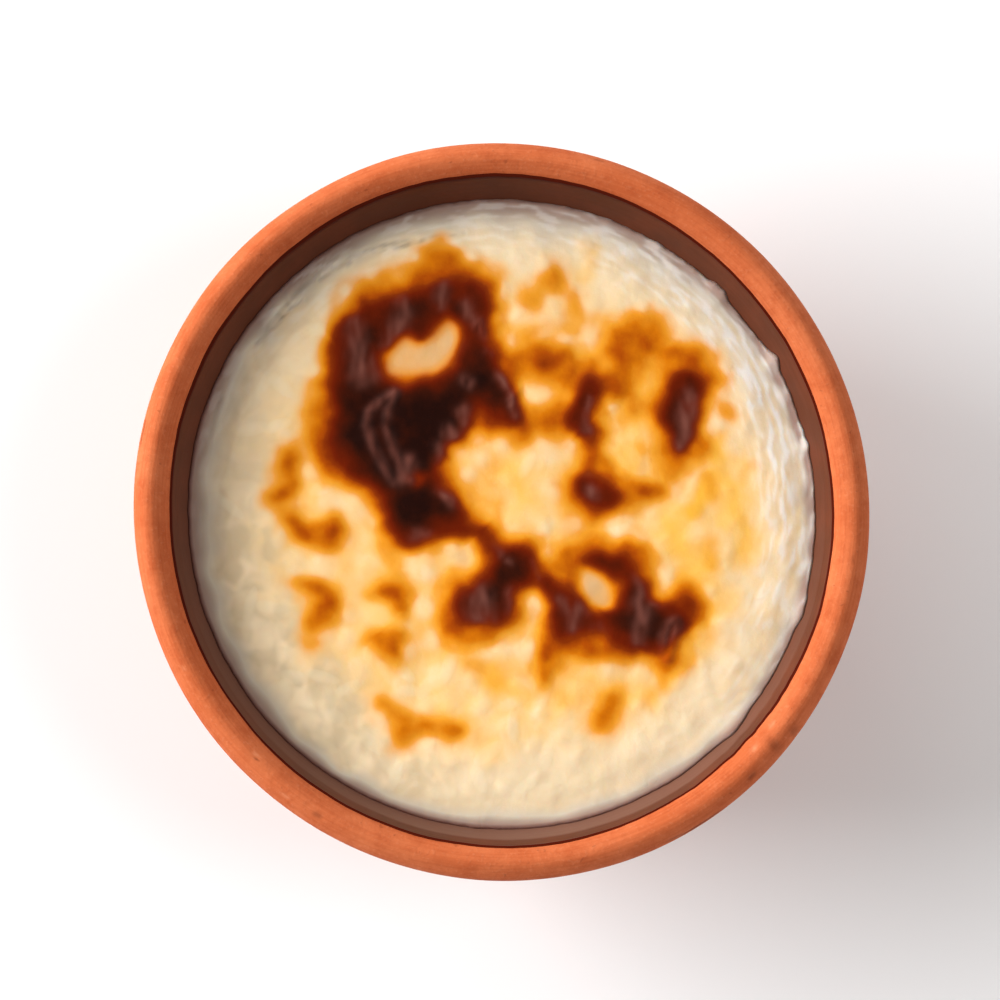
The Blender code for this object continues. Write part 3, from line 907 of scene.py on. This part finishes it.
# Soft lumps of rice under the skin: x, y and radius of those that show among the marks. The
# skin between them is drawn down, and it is these valleys that toast first.
LUMPS = [
    (6.3, 19.3, 3.4), (1.6, 27.5, 2.0), (8.4, 32.6, 3.0), (19.4, 35.9, 2.8), (22.8, 38.4, 2.4),
    (24.0, 21.8, 2.8), (18.2, 17.6, 2.3), (22.7, 13.2, 3.4), (21.8, 8.2, 2.9), (35.6, 14.6, 2.6),
    (37.6, 10.8, 2.2), (31.6, 4.8, 2.2), (6.7, 11.0, 3.6), (11.8, 11.2, 2.1), (-0.2, 11.6, 2.8),
    (0.8, 4.4, 3.2), (8.6, 3.6, 2.6), (-24.2, 0.6, 3.4), (-28.6, 1.8, 2.4), (-13.2, -9.2, 3.4),
    (-12.8, -15.6, 2.4), (-20.6, -17.0, 2.7), (-34.2, -8.4, 2.6), (-29.4, -9.2, 3.0),
    (-23.6, -26.2, 2.9), (-9.4, -26.6, 3.0), (-16.4, -28.6, 2.7), (-8.6, -31.2, 2.6),
    (-25.8, -21.0, 2.3), (-0.4, -23.0, 2.7), (1.6, -1.0, 3.2), (6.6, -2.0, 2.6), (12.2, -1.8, 2.5),
    (19.0, -1.6, 3.2), (24.6, -0.6, 2.4), (26.2, -5.6, 2.5), (27.2, -10.0, 2.6), (37.0, -6.6, 2.0),
    (39.0, -13.4, 2.2), (17.4, -25.2, 3.4), (22.8, -27.0, 2.4), (12.0, -28.6, 2.5),
    (4.0, -22.4, 2.6), (2.4, -28.0, 2.4), (6.4, -32.6, 2.2), (32.8, -28.6, 2.6), (30.4, -33.6, 2.6),
    (30.0, 29.6, 2.0), (14.6, 29.4, 2.6), (15.2, 34.4, 2.4), (3.4, 33.0, 2.4),
]
LUMP_TRIES = 2600
dice = np.random.default_rng(7)
for _ in range(LUMP_TRIES):
    reach, heading = EDGE_RADIUS * math.sqrt(dice.random()), dice.random() * 2 * math.pi
    centre = (reach * math.cos(heading), reach * math.sin(heading))
    size = dice.uniform(1.9, 2.6)
    if all(math.dist(centre, other[:2]) > (size + other[2]) * 0.82 for other in LUMPS):
        LUMPS.append((*centre, size))
raised = np.zeros(len(skin_x))
for lump_x, lump_y, size in LUMPS:
    away = np.hypot(moved_x - lump_x, moved_y - lump_y) / size
    raised += np.exp(-2.2 * away**2)
raised = np.minimum(raised, 1)

# Butter fat gathers in those valleys, away from the edge.
valleys = (1 - smooth(raised / 0.45)) * (1 - smooth((skin_r - 32) / 10))
butter = np.maximum(butter, 0.3 * valleys) * (1 - sunk)

# The skin takes colour in a warm haze round each mark, and least on top of the lumps.
HALO_REACH = 4.5
HALO_STRENGTH = 0.17
uneven = noise_at(level, 2.6, 9)
cloudy = noise_at(level, 8.0, 18)
halo = np.zeros(len(skin_x))
for strength, softness, outline in SCORCHED_AREAS:
    if strength < LIGHTEST_DARK:
        reach = smooth(1 - outline_distance(moved_x, moved_y, outline) / HALO_REACH)
        halo = np.maximum(halo, HALO_STRENGTH * reach)
for strength, softness, path in SCORCHES:
    reach = smooth(1 - path_distance(moved_x, moved_y, path)[0] / HALO_REACH)
    halo = np.maximum(halo, HALO_STRENGTH * reach * min(strength * 1.6, 1))
toast = laid(moved_x, moved_y, TOAST_PLACES)
browning = scorch * (1 - sunk)
edge = np.clip(browning * (1 - browning) * 4, 0, 1)
browning = browning + edge * (0.05 - 0.10 * raised) + 0.07 * uneven * smooth(browning / 0.4)
tan = np.maximum(halo, toast) * (1 - 0.6 * sunk) * (1.15 - 0.7 * raised + 0.5 * uneven + 0.3 * cloudy)
browning = np.clip((np.clip(browning, 0, 1) ** 2.5 + np.clip(tan, 0, 1) ** 2.5) ** 0.4, 0, 1)

# Grains of rice lie just under the skin, each as a low long bump.
GRAIN_COUNT = 420
GRAIN_LENGTH = 6.2
GRAIN_WIDTH = 2.4
GRAIN_HEIGHT = 0.05
grains = np.zeros(len(skin_x))
for _ in range(GRAIN_COUNT):
    reach = EDGE_RADIUS * math.sqrt(dice.random())
    heading, lie = dice.random(2) * 2 * math.pi
    near_x, near_y = reach * math.cos(heading), reach * math.sin(heading)
    half_long = GRAIN_LENGTH / 2 * dice.uniform(0.8, 1.15)
    half_wide = GRAIN_WIDTH / 2 * dice.uniform(0.85, 1.15)
    height = GRAIN_HEIGHT * dice.uniform(0.25, 1)
    close = np.flatnonzero((np.abs(skin_x - near_x) < half_long) & (np.abs(skin_y - near_y) < half_long))
    dx, dy = skin_x[close] - near_x, skin_y[close] - near_y
    along = (dx * math.cos(lie) + dy * math.sin(lie)) / half_long
    across = (dy * math.cos(lie) - dx * math.sin(lie)) / half_wide
    bump = height * np.sqrt(np.clip(1 - along**2 - across**2, 0, 1))
    grains[close] = np.maximum(grains[close], bump)

# Folds in the skin: height, half width and path. Those in the great mark and the curled flap
# stand up, and those round the edge are creases where the skin dried and pulled.
FOLDS = [
    (0.30, 0.75, [  # the two in the great mark
        (-17.6, 19.4), (-20, 18), (-21.8, 16.2), (-22, 14), (-21, 10.5), (-19.4, 7.4), (-17.6, 4.6),
    ]),
    (0.32, 0.75, [
        (-17.2, 19.2), (-18.6, 16.6), (-18.9, 13.8), (-17.8, 10.4), (-16.6, 7.6), (-15, 5),
    ]),
    (0.34, 0.75, [  # the curled flap
        (26.8, -22.4), (26.4, -20.2), (27.2, -18.2), (28.3, -17.6), (28.7, -18.8), (28.2, -21),
        (27.2, -23.8),
    ]),
    (0.20, 0.60, [(3, 20), (1.6, 18.4), (2.6, 15.8)]),
    (0.22, 0.50, [(-4.2, 30.2), (-3.2, 31.4), (-2.8, 29.6)]),
    (-0.16, 0.38, [(-27, 40.4), (-24.6, 42.3), (-21.5, 43.2), (-18, 44.2), (-14, 45.2)]),
    (-0.10, 0.40, [(-21, 42.4), (-16, 43.8), (-11, 45.4), (-6, 46)]),
    (-0.15, 0.38, [(-34.6, 35.4), (-32.6, 37.4), (-30.4, 39)]),
    (-0.12, 0.45, [(-40.4, 27.6), (-38, 31), (-35.4, 34)]),
    (-0.10, 0.45, [(-48.2, 12.4), (-47.6, 15), (-46.4, 18.2)]),
    (-0.13, 0.30, [(-30, 38.2), (-27.4, 40.0), (-24.8, 41.2)]),
    (-0.12, 0.30, [(-37.6, 30.2), (-34.8, 33.4), (-33.0, 34.6)]),
]


def fold_distance(x, y, path):
    """Distance from the line of a fold."""
    return path_distance(x, y, [(*point, 0) for point in path])[0]


folds = np.zeros(len(skin_x))
# Where the creases lie, for the painted shade in them.
crease_shade = np.zeros(len(skin_x))
for height, half_width, path in FOLDS:
    off = fold_distance(skin_x + wander_x * 0.4, skin_y + wander_y * 0.4, path) / half_width
    ridge = np.exp(-(off**2))
    folds += height * ridge
    if height < 0:
        folds -= height * 0.5 * np.exp(-((off - 2.2) ** 2))
        crease_shade = np.maximum(crease_shade, ridge)

# The film at the wall, drawn into strands along the wall at the right and the upper left. It is
# broad where the dish shades the skin, so its darker colour there is partly painted shade. Each
# widening is by how much, at what bearing, and how far round.
FILM_WIDTH = 3.6
FILM_SHADE_WIDENINGS = [(3.4, 172, 42), (0.8, 110, 30), (4.2, 80, 34), (-0.7, 10, 40), (0.8, -80, 40)]
film_width = FILM_WIDTH + sum(
    wider * near_bearing(skin_turn, place, reach) for wider, place, reach in FILM_SHADE_WIDENINGS
)
SKIN_NOISE_RADIUS = 50
edge_line = on_circle(np.radians(skin_turn), SKIN_NOISE_RADIUS, 0)
round_edge = on_circle(np.radians(skin_turn), SKIN_NOISE_RADIUS, inward)
film_width = film_width * (1 + 0.45 * noise_at(edge_line, 6, 10))
film = 1 - smooth(inward / film_width)
drawn_turn = np.radians(skin_turn + 1.5 * inward + 2.5 * wander_x)  # the way the film was drawn
along_wall = on_circle(drawn_turn, SKIN_NOISE_RADIUS, inward + wander_y)
fibres = 1.2 * noise_at(along_wall * (0.26, 0.26, 1.15), 1, 11)
wrinkles = noise_at(round_edge * (0.28, 0.28, 1.35), 1, 23)
wrinkle_zone = near_bearing(skin_turn, 122, 48) * smooth(1.4 - inward / 7)
crease_shade = np.maximum(crease_shade, 0.75 * smooth(1.7 * wrinkles - 0.25) * wrinkle_zone)
fibre_zone = smooth((skin_r - 36) / 8) * near_bearing(skin_turn, 20, 55)
fibre_zone += 0.2 * smooth((skin_r - 42) / 5)

# Broad form of the skin.
shoulder = smooth(inward / (EDGE_RADIUS - SHOULDER_RADIUS + CLING_REACH))
swells = noise_at(level, SWELL_LENGTH, 0)
pillows = noise_at(level, PILLOW_LENGTH, 12)
form = DISH_HEIGHT - FILL_DEPTH + CLING_RISE * np.exp(-inward / CLING_REACH)
form += SHOULDER_RISE * shoulder + CROWN * (1 - (skin_r / EDGE_RADIUS) ** 2)
form += shoulder * (SWELL_HEIGHT * swells + PILLOW_HEIGHT * pillows)
form += shoulder * LUMP_HEIGHT * raised * (1 - smooth(browning / 0.6))
form += PUFF_HEIGHT * smooth(browning / 0.8) * shoulder
calm = 1 - 0.55 * smooth(browning / 0.7)
form += grains * calm * smooth(inward / 1.5) + folds * smooth(inward / 0.8)
form += (STRAND_HEIGHT * fibres * fibre_zone - WRINKLE_DEPTH * wrinkles * wrinkle_zone) * smooth(inward)
form += PIMPLE_HEIGHT * noise_at(level, PIMPLE_LENGTH, 13) * smooth(inward)

# The skin's rim on the wall: it climbs unevenly, with a few torn points.
CLIMB = 0.32
TORN_POINTS = [  # bearing in degrees, rise and width
    (29.2, 1.6, 1.5), (44.6, 1.0, 1.2), (46.6, 0.9, 1.0), (341.5, 0.9, 1.6), (344, 0.6, 1.2),
    (318, 0.8, 2.2), (315.5, 0.5, 1.6), (12.4, 0.5, 0.9),
]
edge_climb = CLIMB * (noise_at(edge_line, 5, 14) + 0.6 * noise_at(edge_line, 1.4, 15))
for place_turn, rise, width in TORN_POINTS:
    off = (skin_turn - place_turn + 180) % 360 - 180
    edge_climb += rise * np.exp(-((np.radians(off) * EDGE_RADIUS / width) ** 2))
SLIP = (38, 4.5)  # where the skin has slipped down: bearing and spread in degrees
SLIP_DEPTH = 0.7
edge_climb -= SLIP_DEPTH * near_bearing(skin_turn, *SLIP)
form += edge_climb * np.exp(-inward / 0.8)
wall_r = WALL_TOP_R - (WALL_TOP_Z - form) * math.tan(INNER_LEAN) - WALL_CLEARANCE
pull = np.exp(-inward / 1.2)
spread_r = skin_r + (wall_r - EDGE_RADIUS) * pull
scale = spread_r / np.maximum(skin_r, 1e-6)

x, y = out_of_round(skin_x * scale, skin_y * scale)
skin_points = np.stack([x, y, form], 1)
index = np.arange((GRID + 1) ** 2).reshape(GRID + 1, GRID + 1)
quads = np.stack([index[:-1, :-1], index[:-1, 1:], index[1:, 1:], index[1:, :-1]], -1)
faces = quads.reshape(-1, 4).tolist()
edge_loop = np.concatenate([index[0, :-1], index[:-1, -1], index[-1, :0:-1], index[:0:-1, 0]])
side_profile = np.concatenate([
    line((EDGE_RADIUS, EDGE_HEIGHT), hollow_profile(0, HIDDEN_STEP)[0] - (WALL_CLEARANCE, 0), 9.0),
    hollow_profile(GLAZE_THICKNESS + PUDDING_GAP, 4.0)[:4],
])
all_points = [skin_points]
ring_before = edge_loop
edge_heading = np.arctan2(skin_y[edge_loop], skin_x[edge_loop])
next_index = len(skin_points)
for side_r, side_z in side_profile:
    x, y = out_of_round(side_r * np.cos(edge_heading), side_r * np.sin(edge_heading))
    all_points.append(np.stack([x, y, np.full(len(x), side_z)], 1))
    ring = np.arange(next_index, next_index + len(x))
    next_index += len(x)
    faces += np.stack([ring_before, ring, np.roll(ring, -1), np.roll(ring_before, -1)], 1).tolist()
    ring_before = ring
faces.append(ring_before[::-1].tolist())
points = np.concatenate(all_points)
pudding = mesh_object("baked_rice_pudding", points, faces)
hidden = len(points) - len(skin_points)


def store_skin(name, values):
    store(pudding, name, np.concatenate([values, np.zeros(hidden)]))


store_skin("browning", browning)
store_skin("butter", butter)
store_skin("film", film)
# Painted shade: a dark line along the very edge of the skin, where it meets the wall, in place of the
# shadow in the gap; faint on the right, the lit side.
store_skin("contact_shade", smooth(1.3 - inward / 0.5) * (1 - 0.9 * near_bearing(skin_turn, 15, 75)))
store_skin("grain", grains / GRAIN_HEIGHT)
store_skin("lump", smooth((raised - 0.2) / 0.5) * (1 - smooth((skin_r - 34) / 10)))
# Painted shade: grey darkening along the creases and wrinkles, where shade falls in them.
store_skin("crease_shade", np.clip(crease_shade * (0.55 + 1.3 * noise_at(level, 1.5, 24)), 0, 1))
thin_width = 2.0 + noise_at(edge_line, 3, 20)
thin = smooth(1.2 - inward / thin_width) * (0.8 - 0.8 * fibres)
store_skin("thin", np.clip(thin * near_bearing(skin_turn, 22, 46), 0, 1))
veil = smooth((skin_r - 42) / 5 + 0.5 * noise_at(edge_line, 5, 19))
veil = veil * near_bearing(skin_turn, 24, 48)
store_skin("veil", np.clip(veil * (0.55 + 0.9 * fibres), 0, 1))
store_skin("fibre", fibres * fibre_zone)
drawn_zone = near_bearing(skin_turn, 24, 46) + 0.4 * near_bearing(skin_turn, 122, 46)
drawn_zone = drawn_zone * smooth((skin_r - 41) / 5)
store_skin("strands", np.clip(3.0 * fibres - 0.2, 0, 1) * drawn_zone)
store_skin("gaps", np.clip(-3.0 * fibres - 0.2, 0, 1) * drawn_zone)
ivory = smooth((skin_r - 33) / 13 + 0.35 * noise_at(level, 6, 16))
store_skin("ivory", ivory * (1 - 0.5 * near_bearing(skin_turn, -6, 30)))
store_skin("sunk", 0.6 * smooth((sunk - 0.45) / 0.5))
# Curdled milk: streaky beige blotches round the outer skin, weighted towards the lower left, where the
# dish shades the skin; so they are partly curdling and partly painted shade.
drawn = np.stack([skin_x + 3 * wander_y, skin_y + 3 * wander_x, level[:, 2]], 1)
curdled_and_shade = 1.2 * noise_at(drawn, 4.4, 21) + 0.6 * noise_at(drawn, 1.7, 22)
curdled_and_shade = smooth(0.58 + 0.65 * curdled_and_shade) * smooth((skin_r - 32) / 8)
store_skin("curdled_and_shade", curdled_and_shade * (0.25 + 0.7 * near_bearing(skin_turn, -148, 48)))

# Painted sheen: grey laid over the burnt skin where it tips towards the left, in place of the
# reflection of the window and room in the wet, glossy skin.
SHEEN_PLACES = [
    (0.85, 1.6, [(-24.4, 33, 0.9), (-24, 29, 1.3), (-23.6, 25.6, 1.7), (-22.8, 22.8, 2.3)]),
    (0.75, 1.5, [(-16.6, 36, 0.8), (-16.2, 32.6, 1.3), (-17.6, 30, 1.2), (-18.4, 27.6, 0.9)]),
    (0.75, 1.3, [(-9.8, 38.4, 0.9), (-10, 35.4, 0.9), (-10, 33.6, 0.6)]),
    (0.60, 1.2, [(-6, 34.4, 0.8), (-5.4, 32.2, 0.8), (-3.2, 30.8, 0.8), (-2.2, 29.2, 0.8)]),
    (0.45, 1.2, [(-8, 26.4, 0.8), (-6.2, 28, 0.7)]),
    (0.45, 1.0, [(-2, 26.2, 0.7)]),
    (0.80, 1.3, [(-6.2, 21.8, 0.9), (-5.4, 21.2, 0.8)]),
    (0.70, 1.2, [(-6.2, 16.4, 0.9), (-6, 14.6, 0.8)]),
    (0.75, 1.3, [(-8.4, 13, 1.2), (-7.4, 12.6, 1.0)]),
    (0.75, 1.2, [(-9.8, 10.4, 1.0), (-10, 8.8, 0.8)]),
    (0.95, 1.0, [(0.1, 22.2, 0.9), (1.5, 20.2, 0.7), (2, 17.4, 0.7)]),
    (0.95, 1.2, [(-8, 2, 1.1), (-9.6, 3, 0.7)]),
    (0.95, 1.4, [(-15.8, 7.6, 1.2), (-16.6, 5.4, 1.1)]),
    (0.70, 1.2, [(-14.2, -4.2, 0.9), (-12.2, -4.2, 0.7)]),
    (0.45, 1.0, [(-1, -5.4, 0.8), (-0.4, -7, 0.6)]),
    (0.75, 0.9, [(0.9, -8, 0.6)]),
    (0.40, 0.9, [(5.2, -8, 0.5), (6, -11, 0.5)]),
    (0.50, 1.0, [(1.3, -13.4, 0.7), (1.4, -16.6, 0.7)]),
    (0.95, 1.8, [(-3.2, -13.8, 1.3), (-3.7, -15.6, 1.8), (-3.2, -17.8, 1.5)]),
    (0.92, 1.5, [(9.6, -14.4, 0.8), (11.4, -16, 1.2), (13.4, -15.4, 1.1)]),
    (0.80, 1.3, [(12, -16.2, 1.2), (11.6, -18.4, 0.9)]),
    (0.40, 1.2, [(15.4, -19.4, 0.9)]),
    (0.90, 1.5, [(22.6, -10.6, 0.7), (22.7, -13, 0.9), (23, -15.2, 1.5), (22.3, -21, 0.9)]),
    (0.60, 1.2, [(24, -14.6, 0.8), (25.6, -14.8, 0.7)]),
    (0.95, 1.6, [(31.6, 19, 1.0), (31.2, 17.4, 1.5), (30.5, 15, 1.3), (30.6, 13.4, 1.1), (29, 10.6, 0.9)]),
    (0.80, 1.1, [(15, 18.6, 0.4), (14.8, 16, 0.9), (14.6, 13.4, 0.9)]),
    (0.70, 1.0, [(15, 7.8, 0.7), (14.6, 6.6, 0.8)]),
    (0.85, 1.0, [(14.8, 3.8, 0.8), (14.7, 2.4, 0.8)]),
]
painted_sheen = laid(skin_x + wander_x, skin_y + wander_y, SHEEN_PLACES)
# Painted highlight: the crests of the first folds are greyed as if they caught the light.
SHEEN_FOLDS = 4  # the first of the folds, whose crests stand clear of the burnt skin
CREST_WIDTH = 0.75
CREST_SHEEN = 0.62
for height, half_width, path in FOLDS[:SHEEN_FOLDS]:
    crest = np.exp(-((fold_distance(skin_x, skin_y, path) / CREST_WIDTH) ** 2))
    painted_sheen = np.maximum(painted_sheen, CREST_SHEEN * crest)
streaks = noise_at(level * (1.3, 0.6, 1), 1.6, 17)
store_skin("painted_sheen", painted_sheen * (0.64 + 0.8 * streaks))

# The skin fills its map, and the hidden sides lie small in one corner of it.
SKIN_MAP_WIDTH = 1.8334 * RIM_RADIUS
HIDDEN_MAP_WIDTH = 13.184 * RIM_RADIUS
HIDDEN_MAP_PLACE = 0.93
layout = pudding.data.uv_layers.new(name="OFBake")
corner = np.empty(len(pudding.data.loops), np.int32)
pudding.data.loops.foreach_get("vertex_index", corner)
uv = points[:, :2] / SKIN_MAP_WIDTH + 0.5
uv[len(skin_points):] = points[len(skin_points):, :2] / HIDDEN_MAP_WIDTH + HIDDEN_MAP_PLACE
layout.data.foreach_set("uv", uv[corner].astype(np.float32).reshape(-1))

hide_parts("pudding")
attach(pudding, "root")

CREAM = (0.84, 0.55, 0.22)
CREAM_BUTTER = (0.86, 0.455, 0.05)
CREAM_IVORY = (0.83, 0.66, 0.43)
LUMP_PALE = (0.85, 0.60, 0.32)
GRAIN_WHITE = (0.84, 0.72, 0.50)
FILM_OUTER = (0.26, 0.15, 0.12)
# Painted shade along the skin's edge at the wall.
FILM_CONTACT_SHADE = (0.12, 0.040, 0.030)
# Painted shade in the creases of the skin.
CREASE_SHADE_GREY = (0.30, 0.23, 0.165)
FILM_INNER = (0.60, 0.52, 0.41)
VEIL_WHITE = (0.66, 0.60, 0.54)
STRAND_WHITE = (0.86, 0.80, 0.73)
GAP_GREY = (0.42, 0.33, 0.25)
THIN_FILM = (0.36, 0.23, 0.19)
SUNK_TAN = (0.58, 0.33, 0.150)
# Curdled milk, and painted shade at the lower left.
CURDLED_AND_SHADE = (0.60, 0.46, 0.28)
# The grey of the painted sheen on the burnt skin.
SHEEN_GREY = (0.165, 0.053, 0.038)
BROWNING_RAMP = [
    (0.00, (0.83, 0.55, 0.23)),
    (0.10, (0.82, 0.385, 0.090)),
    (0.22, (0.72, 0.272, 0.015)),
    (0.34, (0.59, 0.165, 0.002)),
    (0.46, (0.385, 0.067, 0.001)),
    (0.56, (0.215, 0.027, 0.0012)),
    (0.68, (0.135, 0.0108, 0.001)),
    (0.82, (0.069, 0.0068, 0.0014)),
    (0.92, (0.033, 0.0053, 0.002)),
    (1.00, (0.014, 0.0033, 0.002)),
]

milk_skin, tree, shader = new_material("baked_milk_skin")
place = add(tree, "ShaderNodeTexCoord").outputs["Object"]


cloud = noise_node(tree, place, 5.5, detail=4)
curd = noise_node(tree, place, 1.6, detail=4, roughness=0.6)
fine = noise_node(tree, place, 0.5, detail=3, roughness=0.6)
browned = point_value(tree, "browning")
detail = math_node(tree, "MULTIPLY", math_node(tree, "SUBTRACT", curd, 0.5), 0.10)
detail = math_node(tree, "MULTIPLY", detail, stretch(tree, browned, 0.03, 0.35))
burn = math_node(tree, "ADD", browned, detail)

colour = painted(tree, CREAM, [
    (cloud, 0.35, 0.65, 0.5, CREAM_IVORY),
    (point_value(tree, "ivory"), 0, 1, 1, CREAM_IVORY),
    # curdled milk, and painted shade at the lower left
    (point_value(tree, "curdled_and_shade"), 0, 1, 1, CURDLED_AND_SHADE),
    (point_value(tree, "lump"), 0, 1, 0.45, LUMP_PALE),
    (point_value(tree, "grain"), 0.2, 1, 0.45, GRAIN_WHITE),
    (point_value(tree, "fibre"), 0.05, 0.5, 0.4, GRAIN_WHITE),
    # painted shade in the creases
    (point_value(tree, "crease_shade"), 0.1, 1, 0.65, CREASE_SHADE_GREY),
    (point_value(tree, "film"), 0.05, 0.6, 0.85, FILM_INNER),
    (point_value(tree, "film"), 0.6, 1, 0.95, FILM_OUTER),
    (point_value(tree, "veil"), 0, 1, 1, VEIL_WHITE),
    (point_value(tree, "gaps"), 0, 1, 0.24, GAP_GREY),
    (point_value(tree, "strands"), 0, 1, 0.55, STRAND_WHITE),
    (point_value(tree, "thin"), 0, 1, 1, THIN_FILM),
    # painted contact shadow where the skin meets the wall
    (point_value(tree, "contact_shade"), 0, 1, 1, FILM_CONTACT_SHADE),
])
ramp = add(tree, "ShaderNodeValToRGB")
stops = ramp.color_ramp.elements
while len(stops) < len(BROWNING_RAMP):
    stops.new(0.5)
for stop, (position, shade) in zip(stops, BROWNING_RAMP):
    stop.position = position
    stop.color = (*shade, 1)
tree.links.new(burn, ramp.inputs[0])
colour = mix_colour(tree, stretch(tree, burn, 0.02, 0.16), colour, ramp.outputs["Color"])
colour = mix_colour(tree, point_value(tree, "sunk"), colour, SUNK_TAN)
buttery = math_node(tree, "MULTIPLY", point_value(tree, "butter"), stretch(tree, burn, 0.34, 0.14))
colour = mix_colour(tree, buttery, colour, CREAM_BUTTER)
# Painted sheen over the burnt skin, in place of its reflections.
sheen_cover = math_node(tree, "MULTIPLY", point_value(tree, "painted_sheen"), stretch(tree, burn, 0.55, 0.75))
colour = mix_colour(tree, sheen_cover, colour, SHEEN_GREY)
tree.links.new(colour, shader.inputs["Base Color"])
tree.links.new(stretch(tree, burn, 0.2, 0.8, 0.42, 0.30), shader.inputs["Roughness"])
tree.links.new(stretch(tree, burn, 0.1, 0.5, 0.4, 0.15), shader.inputs["Subsurface Weight"])
shader.inputs["Subsurface Radius"].default_value = (1.0, 0.55, 0.3)
shader.inputs["Subsurface Scale"].default_value = 1.4 * MM
shader.inputs["Specular IOR Level"].default_value = 0.15
bumped(tree, shader, [(curd, 0.5, 0.14), (fine, 0.4, 0.05)])
pudding.data.materials.append(milk_skin)

# ---------------------------------------------------------------------------------------------
# Floor, camera and light: a white table in a pale room, lit by a wide window at the left, a low
# one at the upper left and a reflector at the right. The camera looks almost straight down.

FLOOR_RADIUS = 1500.0
floor_ring = [
    (FLOOR_RADIUS * math.cos(a), FLOOR_RADIUS * math.sin(a), 0)
    for a in np.linspace(0, 2 * math.pi, 128, endpoint=False)
]
floor = mesh_object("floor", floor_ring, [list(range(128))], smooth_shade=False)
paper, tree, shader = new_material("pale_floor")
shader.inputs["Base Color"].default_value = (0.86, 0.855, 0.855, 1)
shader.inputs["Roughness"].default_value = 0.8
shader.inputs["Specular IOR Level"].default_value = 0.2
floor.data.materials.append(paper)

CAMERA_TILT = math.radians(5.3)
CAMERA_DISTANCE = 610.0
FRAME_WIDTH = 161.82  # of the view, at the height of the rim
AIM = Vector((-0.25, 1.18, DISH_HEIGHT)) * MM
camera = bpy.data.cameras.new("camera")
camera.sensor_width = 36
camera.lens = camera.sensor_width * CAMERA_DISTANCE / FRAME_WIDTH
camera.clip_start = 0.01
camera.clip_end = 20
camera_object = bpy.data.objects.new("camera", camera)
camera_way = Vector((0, -math.sin(CAMERA_TILT), math.cos(CAMERA_TILT)))
camera_object.location = AIM + camera_way * CAMERA_DISTANCE * MM
camera_object.rotation_euler = (CAMERA_TILT, 0, 0)
bpy.context.scene.collection.objects.link(camera_object)
bpy.context.scene.camera = camera_object

# Each lamp: bearing and height in degrees, width and height of its panel in metres, and watts.
LAMPS = [
    ("window", 169, 27, 1.46, 0.80, 60),
    ("side_window", 130, 12, 1.46, 0.56, 27),
    ("reflector", 0, 50, 0.92, 0.92, 12),
]
LAMP_DISTANCE = 2.0
LAMP_COLOUR = (0.985, 1.0, 1.01)
for name, bearing_angle, height, wide, tall, watts in LAMPS:
    lamp = bpy.data.lights.new(name, "AREA")
    lamp.shape = "ELLIPSE" if wide == tall else "RECTANGLE"
    lamp.size = wide
    lamp.size_y = tall
    lamp.energy = watts
    lamp.color = LAMP_COLOUR
    lamp_object = bpy.data.objects.new(name, lamp)
    lamp_way = Vector((
        math.cos(math.radians(height)) * math.cos(math.radians(bearing_angle)),
        math.cos(math.radians(height)) * math.sin(math.radians(bearing_angle)),
        math.sin(math.radians(height)),
    ))
    lamp_object.location = lamp_way * LAMP_DISTANCE
    lamp_object.visible_glossy = False
    lamp_object.rotation_euler = lamp_way.to_track_quat("Z", "Y").to_euler()
    bpy.context.scene.collection.objects.link(lamp_object)

ROOM_LIGHT = (1.0, 0.94, 0.91)
ROOM_STRENGTH = 0.46
CEILING_SHARE = 0.15  # of the room's light that the ceiling above the camera gives
room = bpy.data.worlds.new("room")
room.use_nodes = True
tree = room.node_tree
background = tree.nodes["Background"]
sky = add(tree, "ShaderNodeTexCoord").outputs["Generated"]
split = add(tree, "ShaderNodeSeparateXYZ")
tree.links.new(sky, split.inputs[0])
ceiling = stretch(tree, split.outputs["Z"], 0.80, 0.95)
dim = tuple(channel * CEILING_SHARE for channel in ROOM_LIGHT)
tree.links.new(mix_colour(tree, ceiling, ROOM_LIGHT, dim), background.inputs["Color"])
background.inputs["Strength"].default_value = ROOM_STRENGTH
bpy.context.scene.world = room
bpy.context.scene.view_settings.view_transform = "Standard"
